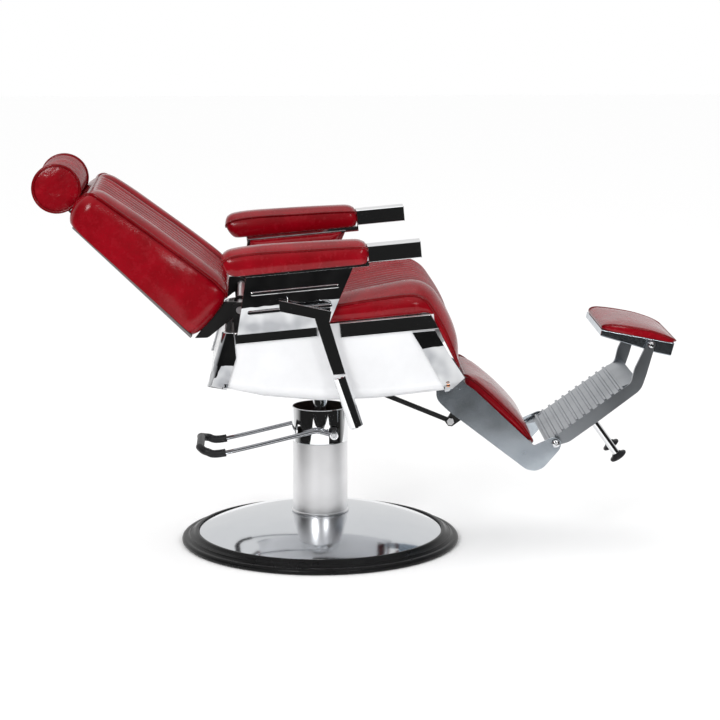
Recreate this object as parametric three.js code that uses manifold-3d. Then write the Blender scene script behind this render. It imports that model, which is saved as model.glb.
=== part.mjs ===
// Hydraulic barber chair, shown laid back with the leg rest raised.
// Millimetres, +Z up, +X towards the feet, +Y towards the sitter's left hand.
// The origin is on the floor, on the axis of the column.
import * as THREE from "three";
import { mergeVertices } from "three/addons/utils/BufferGeometryUtils.js";
import Module from "manifold-3d";

const wasm = await Module();
wasm.setup();

// Clearances
const gap = 0.4; // between pieces that touch
const runningGap = 0.8; // round shafts that turn or slide

// Base and column
const baseRadius = 330;
const rubberWidth = 36;
const discRadius = baseRadius - rubberWidth;
const discRimHeight = 20;
const discRise = 48;
const discThickness = 3.5;
const ballastThickness = 12;
const columnRadius = 65;
const columnWall = 2;
const columnLength = 172;
const capLength = 82;
const capRadius = columnRadius + 1.5;
const columnFoot = discRimHeight + discThickness + discRise + gap;
const columnHead = columnFoot + columnLength;
const capFoot = columnHead + gap;
const capTop = capFoot + capLength;

// Heights of the pivots over the floor
const pedalPivotZ = columnHead + 26;
const seatDatum = capTop + 123.7;
const reclinePivotZ = seatDatum + 140;
const legPivotZ = seatDatum - 26;

// Pump
const rodRadius = 16.5;
const rodBottom = 62;
const rodTop = seatDatum - 67;
const rodTaper = 16;
const pumpFoot = ballastThickness + gap;
const cylinderRadius = 46;
const cylinderTop = pedalPivotZ - 16;
const plungerFoot = cylinderTop - 84;
const plungerOffset = 36;
const plungerRadius = 6;

// Pedal
const pedalPivotX = 31;
const pedalHalfWidth = 79;
const pedalReach = 314;
const pedalRodRadius = 5;
const pedalShaftRadius = 6;
const pedalBossRadius = 9.5;
const gripRadius = 9;
const gripShare = 0.34; // of the rod's length, round its end

// Seat: its own frame leans back with the tilt, with its datum over the column
const seatTilt = 5.2;
const tubHalfWidth = 258;
const tubWall = 4;
const tubRounding = 30;
const tubTop = 114;
const tubFloor = -70;
const trimThickness = 5;
const stripThickness = 6;
const hubRadius = 30;
const frameThickness = 8;
const frameHeight = tubTop - 10;
const cushionBase = tubTop + 1;
const cushionTop = 158;
const cushionRear = -146;

// Arms
const armStandOff = 25; // from the tub's side to the inside of the arm panel
const panelThickness = 3;
const panelBottom = tubTop + 3.5;
const panelTop = 243.5;
const linerThickness = 19;
const armPadWidth = 75;
const armPadHeight = 56;
const armPadRear = -194;
const armPadFront = 123;
const armRailFront = 242;
const armRailWidth = 50;
const armRailHeight = 37;

// Recline lever, on the sitter's right
const leverWidth = 27;
const leverThickness = 6;
const leverShaftRadius = 7;
const leverHandleRadius = 16;
const leverHandleLength = 122;

// Back: its own frame turns on the recline pivot, with z up the back
const reclinePivotX = -186;
const backTilt = 53.6; // degrees from upright
const backHalfWidth = 215;
const backLength = 387;
const backFoot = 42;
const backFaceX = 23;
const backThickFoot = 134;
const backThickHead = 84;
const boardThickness = 6;
const bracketY = 188;
const bracketThickness = 8;
const reclineShaftRadius = 8;
const crankLength = 113;
const crankLean = 25; // degrees forward of straight down, laid back
const crankThickness = 6;
const crankPinRadius = 5;

// Headrest
const bolsterRadius = 55;
const bolsterLength = 250;
const bolsterX = -30;
const bolsterZ = 493;
const strapWidth = 34;
const strapThickness = 5;
const strapFoot = 150;

// Leg rest: its own frame turns on the leg pivot, with x down the leg
const legPivotX = 284;
const legTilt = 42;
const legLength = 300.9; // to the hinge of the foot rest
const legHingeRise = 54.3;
const legPlateY = 150; // middle of the side plates
const legPlateThickness = 5;
const calfHalfWidth = legPlateY - 10;
const calfThickness = 33;
const calfStart = 46;
const calfEnd = 262;
const legShaftRadius = 8;
const linkPivotX = 95;
const linkPivotZ = -77;
const linkY = 76;
const linkWidth = 11;
const linkThickness = 6;

// Foot rest: its own frame turns on the hinge at the end of the leg rest
const footTilt = -35.6;
const footHalfWidth = legPlateY - 11; // to the outside of the side arms
const footArmThickness = 9;
const treadLength = 220;
const treadThickness = 5;
const treadRibs = 11;
const treadRibPitch = 20;
const treadRibWidth = 9;
const treadRibHeight = 4;
const footHingeRadius = 6;
const postSpacing = 120;
const postAlong = 100;
const footPostRadius = 8.5;
const footPostLength = 132;
const footKnobRadius = 21;
const footKnobHeight = 14;
const flipHingeX = 312;
const flipHingeZ = 57.5;

// Flip pad: its own frame turns on the hinge at the tip of the foot rest
const flipPadTilt = 11;
const flipHalfWidth = footHalfWidth - footArmThickness - 2;
const flipRear = -116;
const flipFront = 60;
const flipCushionThickness = 34;
const flipHingeRodRadius = 5;

// Materials
function finish(colour, roughness, metalness) {
  return new THREE.MeshStandardMaterial({ color: colour, roughness, metalness });
}
const chrome = finish(0xd8dadc, 0.08, 1);
const satinSteel = finish(0xc4c6c8, 0.35, 1);
const castAluminium = finish(0xc9cbcd, 0.3, 1);
const blackSteel = finish(0x1b1b1c, 0.45, 0.6);
const castIron = finish(0x3a3a3c, 0.7, 0.6);
const blackRubber = finish(0x141414, 0.65, 0);
const whitePaint = finish(0xf0f0f0, 0.3, 0);
const redLeather = finish(0x8c0f18, 0.35, 0);

// Geometry helpers
function toSolid(geometry) {
  const bare = geometry.clone();
  bare.deleteAttribute("normal");
  bare.deleteAttribute("uv");
  const merged = mergeVertices(bare, 1e-3);
  const mesh = new wasm.Mesh({
    numProp: 3,
    vertProperties: merged.attributes.position.array,
    triVerts: new Uint32Array(merged.index.array),
  });
  return new wasm.Manifold(mesh);
}

function toGeometry(solid) {
  const mesh = solid.getMesh();
  const geometry = new THREE.BufferGeometry();
  geometry.setAttribute("position", new THREE.BufferAttribute(new Float32Array(mesh.vertProperties), 3));
  geometry.setIndex(new THREE.BufferAttribute(new Uint32Array(mesh.triVerts), 1));
  geometry.computeVertexNormals();
  return geometry;
}

function join(...geometries) {
  return toGeometry(geometries.map(toSolid).reduce((all, next) => all.add(next)));
}

function cut(geometry, ...tools) {
  return toGeometry(tools.map(toSolid).reduce((left, next) => left.subtract(next), toSolid(geometry)));
}

function box(x0, x1, y0, y1, z0, z1) {
  const geometry = new THREE.BoxGeometry(x1 - x0, Math.abs(y1 - y0), z1 - z0);
  geometry.translate((x0 + x1) / 2, (y0 + y1) / 2, (z0 + z1) / 2);
  return geometry;
}

// A flat outline in the XZ plane, given as points or as a THREE.Shape, made thick along Y.
function slab(outline, y0, y1, bevel = 0, bevelSteps = 2) {
  const listed = outline instanceof THREE.Shape ? [] : outline;
  const shape = listed.length ? new THREE.Shape(listed.map(([x, z]) => new THREE.Vector2(x, z))) : outline;
  const low = Math.min(y0, y1);
  const high = Math.max(y0, y1);
  const geometry = new THREE.ExtrudeGeometry(shape, {
    depth: high - low - 2 * bevel,
    bevelEnabled: bevel > 0,
    bevelSize: bevel,
    bevelThickness: bevel,
    bevelOffset: -bevel,
    bevelSegments: bevelSteps,
    curveSegments: 4,
  });
  geometry.rotateX(Math.PI / 2);
  geometry.translate(0, high - bevel, 0);
  return geometry;
}

// A profile of [radius, height] turned about Z. Closed rings repeat their first point.
function turned(profile, segments = 32) {
  const points = profile.map(([r, z]) => new THREE.Vector2(r, z));
  let area = 0;
  points.forEach((p, i) => {
    const next = points[(i + 1) % points.length];
    area += p.x * next.y - next.x * p.y;
  });
  if (area < 0) points.reverse();
  const geometry = new THREE.LatheGeometry(points, segments);
  geometry.rotateX(Math.PI / 2);
  return geometry;
}

function ring(profile, segments) {
  return turned([...profile, profile[0]], segments);
}

function rod(from, to, radius, segments = 20) {
  const start = new THREE.Vector3(...from);
  const way = new THREE.Vector3(...to).sub(start);
  const geometry = new THREE.CylinderGeometry(radius, radius, way.length(), segments);
  const turn = new THREE.Quaternion().setFromUnitVectors(new THREE.Vector3(0, 1, 0), way.clone().normalize());
  geometry.applyQuaternion(turn);
  geometry.translate(...start.addScaledVector(way, 0.5));
  return geometry;
}

function crossRod(x, z, radius, y0, y1, segments) {
  return rod([x, y0, z], [x, y1, z], radius, segments);
}

// An outline with corners rounded by their own radius, up to half an edge: points are [x, z, radius].
function rounded(points) {
  const shape = new THREE.Shape();
  points.forEach(([x, z, radius = 0], i) => {
    const corner = new THREE.Vector2(x, z);
    const [beforeX, beforeZ] = points[(i + points.length - 1) % points.length];
    const [afterX, afterZ] = points[(i + 1) % points.length];
    const toBefore = new THREE.Vector2(beforeX, beforeZ).sub(corner);
    const toAfter = new THREE.Vector2(afterX, afterZ).sub(corner);
    const round = Math.min(radius, 0.48 * toBefore.length(), 0.48 * toAfter.length());
    const start = corner.clone().add(toBefore.setLength(round));
    const end = corner.clone().add(toAfter.setLength(round));
    if (i === 0) shape.moveTo(start.x, start.y);
    else shape.lineTo(start.x, start.y);
    if (round > 0) shape.quadraticCurveTo(x, z, end.x, end.y);
  });
  shape.closePath();
  return shape;
}

const chair = new THREE.Group();
const sides = [
  ["left", 1],
  ["right", -1],
];

function frameAt(parent, x, z, tilt) {
  const frame = new THREE.Group();
  frame.position.set(x, 0, z);
  frame.rotation.y = THREE.MathUtils.degToRad(tilt);
  parent.add(frame);
  return frame;
}

function place(frame, name, geometry, material) {
  const mesh = new THREE.Mesh(geometry, material);
  mesh.name = name;
  frame.add(mesh);
}

// Height of the disc's upper face: steep at the rim and flat round the column.
function discHeight(radius) {
  const inner = columnRadius;
  const share = Math.max(0, (radius - inner) / (discRadius - inner));
  return discRimHeight + discThickness + discRise * (1 - share ** 2.1);
}

function makeBase() {
  const steps = 8;
  const radii = [];
  const hole = columnRadius - 8;
  for (let i = 0; i <= steps; i += 1) radii.push(hole + ((discRadius - hole) * i) / steps);
  const top = radii.map((r) => [r, discHeight(r)]);
  const bottom = radii.map((r) => [r, discHeight(r) - discThickness]).reverse();
  place(chair, "base_disc", ring([...top, ...bottom], 48), chrome);

  const lip = discRadius - 4;
  const groove = discRadius + gap;
  const section = [
    [discRadius - 8, 0],
    [baseRadius - 5, 0],
    [baseRadius, 4],
    [baseRadius, 10],
    [baseRadius - 5, 14.5],
    [baseRadius - 13, 16.5],
    [baseRadius - 17, 16],
    [baseRadius - 20, 20],
    [baseRadius - 29, 23.5],
    [baseRadius - 34, 27.5],
    [lip, discHeight(lip) + 3.2],
    [lip, discHeight(lip) + gap],
    [groove, discHeight(discRadius) + gap],
    [groove, discRimHeight - gap],
    [discRadius - 8, discRimHeight - gap],
  ];
  place(chair, "base_rubber_ring", ring(section, 48), blackRubber);

  const ballast = [
    [0, 0],
    [discRadius - 8 - gap, 0],
    [discRadius - 8 - gap, ballastThickness],
    [0, ballastThickness],
  ];
  place(chair, "ballast_plate", turned(ballast, 48), castIron);
}

function makePump() {
  const bore = rodRadius + runningGap;
  const body = [
    [0, pumpFoot],
    [cylinderRadius + 9, pumpFoot],
    [cylinderRadius + 9, pumpFoot + 12],
    [cylinderRadius, pumpFoot + 12],
    [cylinderRadius, cylinderTop],
    [bore, cylinderTop],
    [bore, rodBottom - 12],
    [0, rodBottom - 12],
  ];
  const ears = sides.map(([, side]) =>
    box(pedalPivotX - 11, pedalPivotX + 9, side * 39 - 5, side * 39 + 5, cylinderTop - 8, pedalPivotZ + 11),
  );
  const casting = join(turned(body, 40), ...ears);
  const shaftHole = crossRod(pedalPivotX, pedalPivotZ, pedalShaftRadius + runningGap, -60, 60);
  const holeFoot = [-plungerOffset, 0, plungerFoot - 20];
  const holeTop = [-plungerOffset, 0, cylinderTop + 5];
  const plungerHole = rod(holeFoot, holeTop, plungerRadius + runningGap);
  place(chair, "pump_body", cut(casting, shaftHole, plungerHole), castIron);

  const cover = [
    [columnRadius - columnWall, columnFoot],
    [columnRadius + 1.5, columnFoot],
    [columnRadius + 2.5, columnFoot + 2.5],
    [columnRadius + 1.5, columnFoot + 5],
    [columnRadius, columnFoot + 6],
    [columnRadius, columnHead],
    [columnRadius - columnWall, columnHead],
  ];
  place(chair, "column_cover", ring(cover, 40), satinSteel);

  const cap = [
    [capRadius - columnWall, capFoot],
    [capRadius - 1, capFoot],
    [capRadius, capFoot + 1.5],
    [capRadius, capTop - 1.5],
    [capRadius - 1, capTop],
    [capRadius - columnWall, capTop],
  ];
  const slots = [];
  for (const [, side] of sides) {
    const slotFoot = pedalPivotZ - 24;
    const arch = pedalPivotZ + 9;
    slots.push(box(pedalPivotX - 11, pedalPivotX + 12, side * 40, side * 80, slotFoot, arch));
    slots.push(crossRod(pedalPivotX + 0.5, arch, 11.5, side * 40, side * 80));
    slots.push(box(-75, -44, side * 30, side * 54, pedalPivotZ - 3, pedalPivotZ + 19));
  }
  place(chair, "column_cap", cut(ring(cap, 40), ...slots), chrome);
}

function makeRod() {
  const profile = [
    [0, rodBottom],
    [rodRadius, rodBottom],
    [rodRadius, rodTop - rodTaper],
    [rodRadius - 4, rodTop],
    [0, rodTop],
  ];
  place(chair, "piston_rod", turned(profile, 32), chrome);
}

function makePedal() {
  const pedal = frameAt(chair, pedalPivotX, pedalPivotZ, 0);
  const reach = -pedalReach;
  const arm = [
    [0, 0],
    [-34, 9],
    [-49, 9],
    [-92, -1],
    [reach + 56, -39],
    [reach + 16, -36],
    [reach, -30],
  ];
  const corner = 20;
  const near = arm.slice(0, -1).map(([x, z]) => new THREE.Vector3(x, -pedalHalfWidth, z));
  const far = arm.slice(0, -1).map(([x, z]) => new THREE.Vector3(x, pedalHalfWidth, z));
  const [endX, endZ] = arm[arm.length - 1];
  const straight = pedalHalfWidth - corner;
  const across = [-straight, 12 - straight, 0, straight - 12, straight];
  const bend = across.map((y) => new THREE.Vector3(endX, y, endZ));
  const path = new THREE.CatmullRomCurve3([...near, ...bend, ...far.reverse()], false, "centripetal");
  const circle = new THREE.Shape().absarc(0, 0, pedalRodRadius, 0, 2 * Math.PI);
  const bar = new THREE.ExtrudeGeometry(circle, { steps: 48, extrudePath: path, curveSegments: 5 });
  const bosses = sides.map(([, side]) =>
    crossRod(0, 0, pedalBossRadius, side * (pedalHalfWidth - 5), side * (pedalHalfWidth + 5)),
  );
  const bossHoles = sides.map(([, side]) =>
    crossRod(0, 0, 4.4, side * (pedalHalfWidth - 20), side * (pedalHalfWidth + 20), 12),
  );
  place(pedal, "pedal_lever", cut(join(bar, ...bosses), ...bossHoles), chrome);

  const gripPoints = [];
  for (let i = 0; i <= 20; i += 1) gripPoints.push(path.getPointAt(0.5 + gripShare * (i / 20 - 0.5)));
  const sleeve = new THREE.Shape().absarc(0, 0, gripRadius, 0, 2 * Math.PI);
  sleeve.holes.push(new THREE.Path().absarc(0, 0, pedalRodRadius + 1.6, 0, 2 * Math.PI, true));
  const gripPath = new THREE.CatmullRomCurve3(gripPoints);
  const grip = new THREE.ExtrudeGeometry(sleeve, { steps: 24, extrudePath: gripPath, curveSegments: 5 });
  place(pedal, "pedal_grip", grip, blackRubber);

  const shaftEnd = pedalHalfWidth - 5 - gap;
  const shaft = crossRod(0, 0, pedalShaftRadius, -shaftEnd, shaftEnd);
  const tapped = sides.map(([, side]) =>
    crossRod(0, 0, 4.4, side * (shaftEnd - 16), side * (shaftEnd + 1), 12),
  );
  place(pedal, "pedal_shaft", cut(shaft, ...tapped), satinSteel);
  for (const [word, side] of sides) {
    const face = pedalHalfWidth + 5 + gap;
    const head = crossRod(0, 0, 7, side * face, side * (face + 4), 16);
    const shank = crossRod(0, 0, 4, side * (shaftEnd - 14), side * (face + 1), 12);
    const socket = crossRod(0, 0, 3, side * (face + 1), side * (face + 6), 6);
    place(pedal, `pedal_bolt_${word}`, cut(join(head, shank), socket), chrome);
  }

  const reachBack = -pedalPivotX - plungerOffset;
  const rocker = join(
    box(reachBack, 10, 22, 30, 7, 13),
    box(reachBack, 10, -30, -22, 7, 13),
    crossRod(reachBack, 13, 6, -30, 30),
    box(-10, 10, 22, 30, -10, 13),
    box(-10, 10, -30, -22, -10, 13),
  );
  const eye = crossRod(0, 0, pedalShaftRadius + gap, -40, 40);
  place(pedal, "pump_rocker", cut(rocker, eye), blackSteel);
}

function makePlunger() {
  const head = pedalPivotZ + 7 - gap;
  const profile = [
    [0, plungerFoot],
    [plungerRadius, plungerFoot],
    [plungerRadius, head - 5],
    [plungerRadius + 4, head - 5],
    [plungerRadius + 4, head],
    [0, head],
  ];
  const plunger = turned(profile, 20);
  plunger.translate(-plungerOffset, 0, 0);
  place(chair, "pump_plunger", plunger, satinSteel);
}

const seat = frameAt(chair, 0, seatDatum, -seatTilt);

// The tub's side outline, in the seat frame. It runs on past the rim and the open front, which are cut.
const rimCut = 80;
const frontCut = 40;
const rearSlope = 0.39;
const tubOutline = [
  [-211 + rearSlope * rimCut, tubTop + rimCut],
  [-257, -4],
  [-137, -41],
  [-12, tubFloor + 6],
  [114, tubFloor - 1],
  [284 + frontCut, tubFloor + 3],
  [319 + frontCut, -38],
  [290 + frontCut, 16],
  [262 + frontCut, tubTop + rimCut],
];
const frontEdge = [
  [262, tubTop + rimCut + 1],
  [262, 75],
  [290, 16],
  [319, -38],
  [284, tubFloor + 3],
  [262, tubFloor - 20],
];

// The tub as a full block with rounded edges and a flat front, its faces moved out by the given amount.
function tubBlock(growth, frontGrowth = 0) {
  const round = tubRounding + growth;
  const shape = new THREE.Shape(tubOutline.map(([x, z]) => new THREE.Vector2(x, z)));
  const geometry = new THREE.ExtrudeGeometry(shape, {
    depth: 2 * (tubHalfWidth - tubRounding),
    bevelEnabled: true,
    bevelSize: round,
    bevelThickness: round,
    bevelOffset: -tubRounding,
    bevelSegments: 4,
  });
  geometry.rotateX(Math.PI / 2);
  geometry.translate(0, tubHalfWidth - tubRounding, 0);
  const reach = tubHalfWidth + 60;
  const front = frontEdge.map(([x, z]) => [x + frontGrowth, z]);
  const behind = slab([...front, [-400, tubFloor - 20], [-400, tubTop + rimCut + 1]], -reach, reach);
  return toGeometry(toSolid(geometry).intersect(toSolid(behind)));
}

// Turns a piece that stands upright over the column into the tilted seat frame.
function uprightInSeat(geometry) {
  return geometry.rotateY(THREE.MathUtils.degToRad(seatTilt));
}

function makeTub() {
  const aboveRim = box(-400, 400, -tubHalfWidth - 50, tubHalfWidth + 50, tubTop, tubTop + 200);
  const hubHole = uprightInSeat(rod([0, 0, -120], [0, 0, 0], hubRadius + 8));
  const slotHalf = legPlateY + 22;
  const legSlot = box(232, 360, -slotHalf, slotHalf, -110, 0);
  const linkSlot = box(-40, 240, -linkY - 22, -linkY + 7, -110, 0);
  const [shaftX, shaftZ] = inSeat(legPivotX, legPivotZ);
  const shaftHole = crossRod(shaftX, shaftZ, legShaftRadius + gap, -400, 400);
  const shell = cut(tubBlock(0), tubBlock(-tubWall, 5));
  place(seat, "tub_shell", cut(shell, aboveRim, hubHole, legSlot, linkSlot, shaftHole), whitePaint);
}

// The part of a shell round the tub that lies within a side outline, on one side.
function tubWrap(outline, side, thickness) {
  const shell = toSolid(tubBlock(thickness)).subtract(toSolid(tubBlock(gap, 5)));
  const band = toSolid(slab(outline, side * (tubHalfWidth - 32), side * (tubHalfWidth + 40)));
  return toGeometry(shell.intersect(band));
}

// Chrome bands that wrap the tub's corners, one pair at the rear and one at the front.
function makeTrims() {
  const rear = [
    [-240, tubTop],
    [-190, tubTop],
    [-190, 58],
    [-218, -11],
    [-224, -40],
    [-290, -40],
  ];
  const front = [
    [210, 76.5],
    [300, 76.5],
    [360, -30],
    [321, -60],
    [285, -90],
    [275, -80],
    [270, -54],
    [236, 24],
  ];
  for (const [word, side] of sides) {
    place(seat, `rear_trim_${word}`, tubWrap(rear, side, trimThickness), chrome);
    const face = side * (tubHalfWidth + trimThickness);
    const rivet = crossRod(280.5, -51.6, 4.5, face - 7.2 * side, face - 3 * side, 12);
    place(seat, `front_trim_${word}`, join(tubWrap(front, side, trimThickness), rivet), chrome);
  }
}

function makeStrips() {
  const inner = tubHalfWidth + gap;
  const outer = inner + stripThickness;
  const rear = [
    [-188, tubTop - 26],
    [-2, tubTop - 26],
    [-2, tubTop + 0.5],
    [-188, tubTop + 0.5],
  ];
  const front = [
    [48, tubTop - 34],
    [271, tubTop - 34],
    [255, tubTop + 0.5],
    [48, tubTop + 0.5],
  ];
  for (const [word, side] of sides) {
    place(seat, `rear_strip_${word}`, slab(rear, side * inner, side * outer, 1.5, 1), chrome);
    place(seat, `front_strip_${word}`, slab(front, side * inner, side * outer, 1.5, 1), chrome);
  }
}

function makeSeatMount() {
  const plateFoot = -44;
  const webTop = frameHeight - gap;
  const bore = rodRadius + gap;
  const socketTop = rodTop + gap - seatDatum;
  const hubFoot = socketTop - 19;
  const hub = uprightInSeat(
    turned(
      [
        [bore, hubFoot],
        [hubRadius - 3, hubFoot],
        [hubRadius, hubFoot + 3],
        [hubRadius, -38],
        [0, -38],
        [0, socketTop],
        [bore, socketTop],
        [bore, hubFoot],
      ],
      32,
    ),
  );
  const webs = sides.map(([, side]) => box(-80, 110, side * 66 - 4, side * 66 + 4, plateFoot, webTop));
  const mount = join(hub, box(-80, 110, -70, 70, plateFoot, plateFoot + 10), ...webs);
  place(seat, "seat_mount", mount, castIron);

  const half = tubHalfWidth - tubWall - 12;
  const earY = bracketY + bracketThickness + gap;
  const [earX, earZ] = inSeat(reclinePivotX, reclinePivotZ);
  const ears = sides.map(([, side]) => {
    const ear = slab(
      rounded([
        [earX - 17, earZ + 17, 14],
        [earX - 17, frameHeight + 2],
        [cushionRear - 4, frameHeight + 2],
        [earX + 20, earZ - 6, 12],
        [earX + 17, earZ + 17, 14],
      ]),
      side * earY,
      side * (earY + 7),
    );
    return ear;
  });
  const holes = crossRod(earX, earZ, reclineShaftRadius + runningGap, -half, half);
  const crankSlot = box(-220, -118, -linkY - linkThickness - crankThickness - 8, -linkY + 8, 90, 130);
  const plate = box(-196, 236, -half, half, frameHeight, frameHeight + frameThickness);
  place(seat, "seat_frame", cut(join(plate, ...ears), holes, crankSlot), blackSteel);
}

// A point of the upright frame, as [x, z] in the seat frame.
function inSeat(uprightX, uprightZ) {
  const tilt = THREE.MathUtils.degToRad(seatTilt);
  const x = uprightX;
  const z = uprightZ - seatDatum;
  return [x * Math.cos(tilt) + z * Math.sin(tilt), z * Math.cos(tilt) - x * Math.sin(tilt)];
}

function makeSeatCushion() {
  const face = 1.5;
  const outline = rounded([
    [cushionRear, cushionBase],
    [cushionRear, cushionTop, 22],
    [60, cushionTop + 14, 10],
    [225, cushionTop + 24, 40],
    [276, 140, 20],
    [303, 70, 10],
    [328, 0, 10],
    [333, -43, 6],
    [322, -43],
    [290 + face, 16],
    [262 + face, 75],
    [262 + face, cushionBase],
  ]);
  place(seat, "seat_cushion", slab(outline, -tubHalfWidth, tubHalfWidth), redLeather);
}

// Everything on one arm stands off from the tub's side by values shared here.
const panelInner = tubHalfWidth + armStandOff;
const panelOuter = panelInner + panelThickness;
const leverPivotS = -66;
const leverPivotN = 173;

function makeArm(word, side) {
  const panel = slab(
    [
      [-182, panelBottom],
      [22, panelBottom],
      [95, panelTop],
      [-148, panelTop],
    ],
    side * panelInner,
    side * panelOuter,
  );
  const foot = box(-178, 18, side * (tubHalfWidth + 3), side * panelOuter, panelBottom, panelBottom + 2.5);
  const ribs = [
    [-140, 54, 203],
    [-152, 34, 160],
  ].map(([from, to, height]) =>
    slab(
      [
        [from, height - 4],
        [to, height - 4],
        [to, height + 4],
        [from, height + 4],
      ],
      side * (panelOuter - 1),
      side * (panelOuter + 3),
      2,
      1,
    ),
  );
  const holeRadius = leverShaftRadius + runningGap;
  const hole = crossRod(leverPivotS, leverPivotN, holeRadius, side * (tubHalfWidth - 60), side * 400);
  const pressed = join(panel, foot, ...ribs);
  place(seat, `arm_panel_${word}`, side < 0 ? cut(pressed, hole) : pressed, chrome);

  const linerOuter = panelInner - gap;
  const liner = slab(
    [
      [-172, panelBottom + 3.2],
      [16, panelBottom + 3.2],
      [88, panelTop + 5],
      [-142, panelTop + 5],
    ],
    side * (linerOuter - linerThickness),
    side * linerOuter,
    3,
    1,
  );
  place(seat, `arm_liner_${word}`, side < 0 ? cut(liner, hole) : liner, redLeather);

  const railFoot = panelTop + gap;
  const barFrom = side * (panelInner + 4);
  const barTo = side * (panelInner + 24);
  const railCentre = panelInner + 37;
  const blockFrom = side * (railCentre - armRailWidth / 2);
  const blockTo = side * (railCentre + armRailWidth / 2);
  const padFoot = railFoot + 12;
  const bar = slab(
    [
      [-150, railFoot],
      [armPadFront + 3, railFoot],
      [armPadFront + 3, padFoot + 6],
      [armPadFront + 1, padFoot + 6],
      [armPadFront + 1, padFoot - gap],
      [-150, padFoot - gap],
    ],
    barFrom,
    barTo,
  );
  const block = slab(
    [
      [armPadFront + 1, padFoot + 1],
      [armRailFront, padFoot + 1],
      [armRailFront, padFoot + 1 + armRailHeight],
      [armPadFront + 1, padFoot + 1 + armRailHeight],
    ],
    blockFrom,
    blockTo,
    1.5,
    1,
  );
  place(seat, `arm_rail_${word}`, join(bar, block), chrome);

  const pad = slab(
    rounded([
      [armPadRear + 20, padFoot, 8],
      [armPadFront, padFoot, 6],
      [armPadFront, padFoot + armPadHeight - 6, 16],
      [-150, padFoot + armPadHeight, 30],
      [armPadRear, padFoot + armPadHeight - 6, 16],
    ]),
    side * (railCentre - armPadWidth / 2),
    side * (railCentre + armPadWidth / 2),
  );
  place(seat, `arm_pad_${word}`, pad, redLeather);
}

// A flat bar with an elbow, welded to the shaft that works the recline lock.
function makeLever() {
  const lever = frameAt(seat, leverPivotS, leverPivotN, 0);
  const inner = -(panelOuter + 12);
  const outer = inner - leverThickness;
  const barEnd = -168;
  const bar = slab(
    [
      [-16, leverWidth / 2],
      [-16, -leverWidth / 2],
      [60, -37],
      [89, barEnd],
      [89 + leverWidth + 1, barEnd],
      [92, -47],
      [99, -23],
    ],
    inner,
    outer,
    1,
    1,
  );
  const shaft = crossRod(0, 0, leverShaftRadius, inner - 2, -(panelInner - linerThickness - 3));
  place(lever, "recline_lever", join(bar, shaft), chrome);

  const middle = (inner + outer) / 2;
  const handle = turned(
    [
      [0, 0],
      [leverHandleRadius, 0],
      [leverHandleRadius, -leverHandleLength + 3],
      [leverHandleRadius - 3, -leverHandleLength],
      [leverHandleRadius - 3, -leverHandleLength + 30],
      [0, -leverHandleLength + 30],
    ],
    24,
  );
  handle.rotateY(THREE.MathUtils.degToRad(-13));
  handle.translate(103, middle, barEnd - 4.5);
  place(lever, "lever_handle", handle, satinSteel);
}

const back = frameAt(chair, reclinePivotX, reclinePivotZ, -backTilt);

// The back board's frame: z runs up the cushion's rear face, which slopes in towards the head.
const cushionFootX = backFaceX - backThickFoot;
const cushionHeadX = backFaceX - backThickHead;
const rearSlant = THREE.MathUtils.radToDeg(Math.atan2(cushionHeadX - cushionFootX, backLength - 8));
const boardFrame = frameAt(back, cushionFootX, backFoot + 8, rearSlant);
const boardLength = 366;

function makeBack() {
  const head = backFoot + backLength;
  const cushion = slab(
    rounded([
      [backFaceX - 22, backFoot],
      [backFaceX, backFoot + 26, 12],
      [backFaceX, head, 10],
      [cushionHeadX, head, 8],
      [cushionFootX, backFoot + 8, 8],
    ]),
    -backHalfWidth,
    backHalfWidth,
  );
  place(back, "back_cushion", cushion, redLeather);

  const boardHalf = backHalfWidth - 6;
  const board = box(-gap - boardThickness, -gap, -boardHalf, boardHalf, 2, boardLength);
  const strapX = -gap - boardThickness;
  const bridgeHalf = strapWidth / 2 + 9;
  const bridgeX = strapX - strapThickness - 5;
  const bridge = box(bridgeX, strapX + 1, -bridgeHalf, bridgeHalf, boardLength - 80, boardLength - 20);
  const channelHalf = strapWidth / 2 + gap;
  const channelX = strapX - strapThickness - 2 * gap;
  const channel = box(channelX, strapX, -channelHalf, channelHalf, 50, boardLength + 10);
  place(boardFrame, "back_board", join(board, cut(bridge, channel)), whitePaint);

  for (const [word, side] of sides) {
    const inner = side * bracketY;
    const outer = side * (bracketY + bracketThickness);
    const bracket = slab(
      rounded([
        [15, -6, 10],
        [12, 14, 8],
        [-8, backFoot - 1.5],
        [cushionFootX - 2, backFoot + 1.5],
        [cushionFootX + 16, 20, 6],
        [-22, 1, 10],
        [-2, -18, 12],
      ]),
      inner,
      outer,
    );
    const hole = crossRod(0, 0, reclineShaftRadius + gap, inner - 20, inner + 20);
    place(back, `back_bracket_${word}`, cut(bracket, hole), blackSteel);
  }
  const shaftHalf = bracketY + bracketThickness + 12;
  place(back, "recline_shaft", crossRod(0, 0, reclineShaftRadius, -shaftHalf, shaftHalf), satinSteel);
  makeCrank();
}

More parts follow.
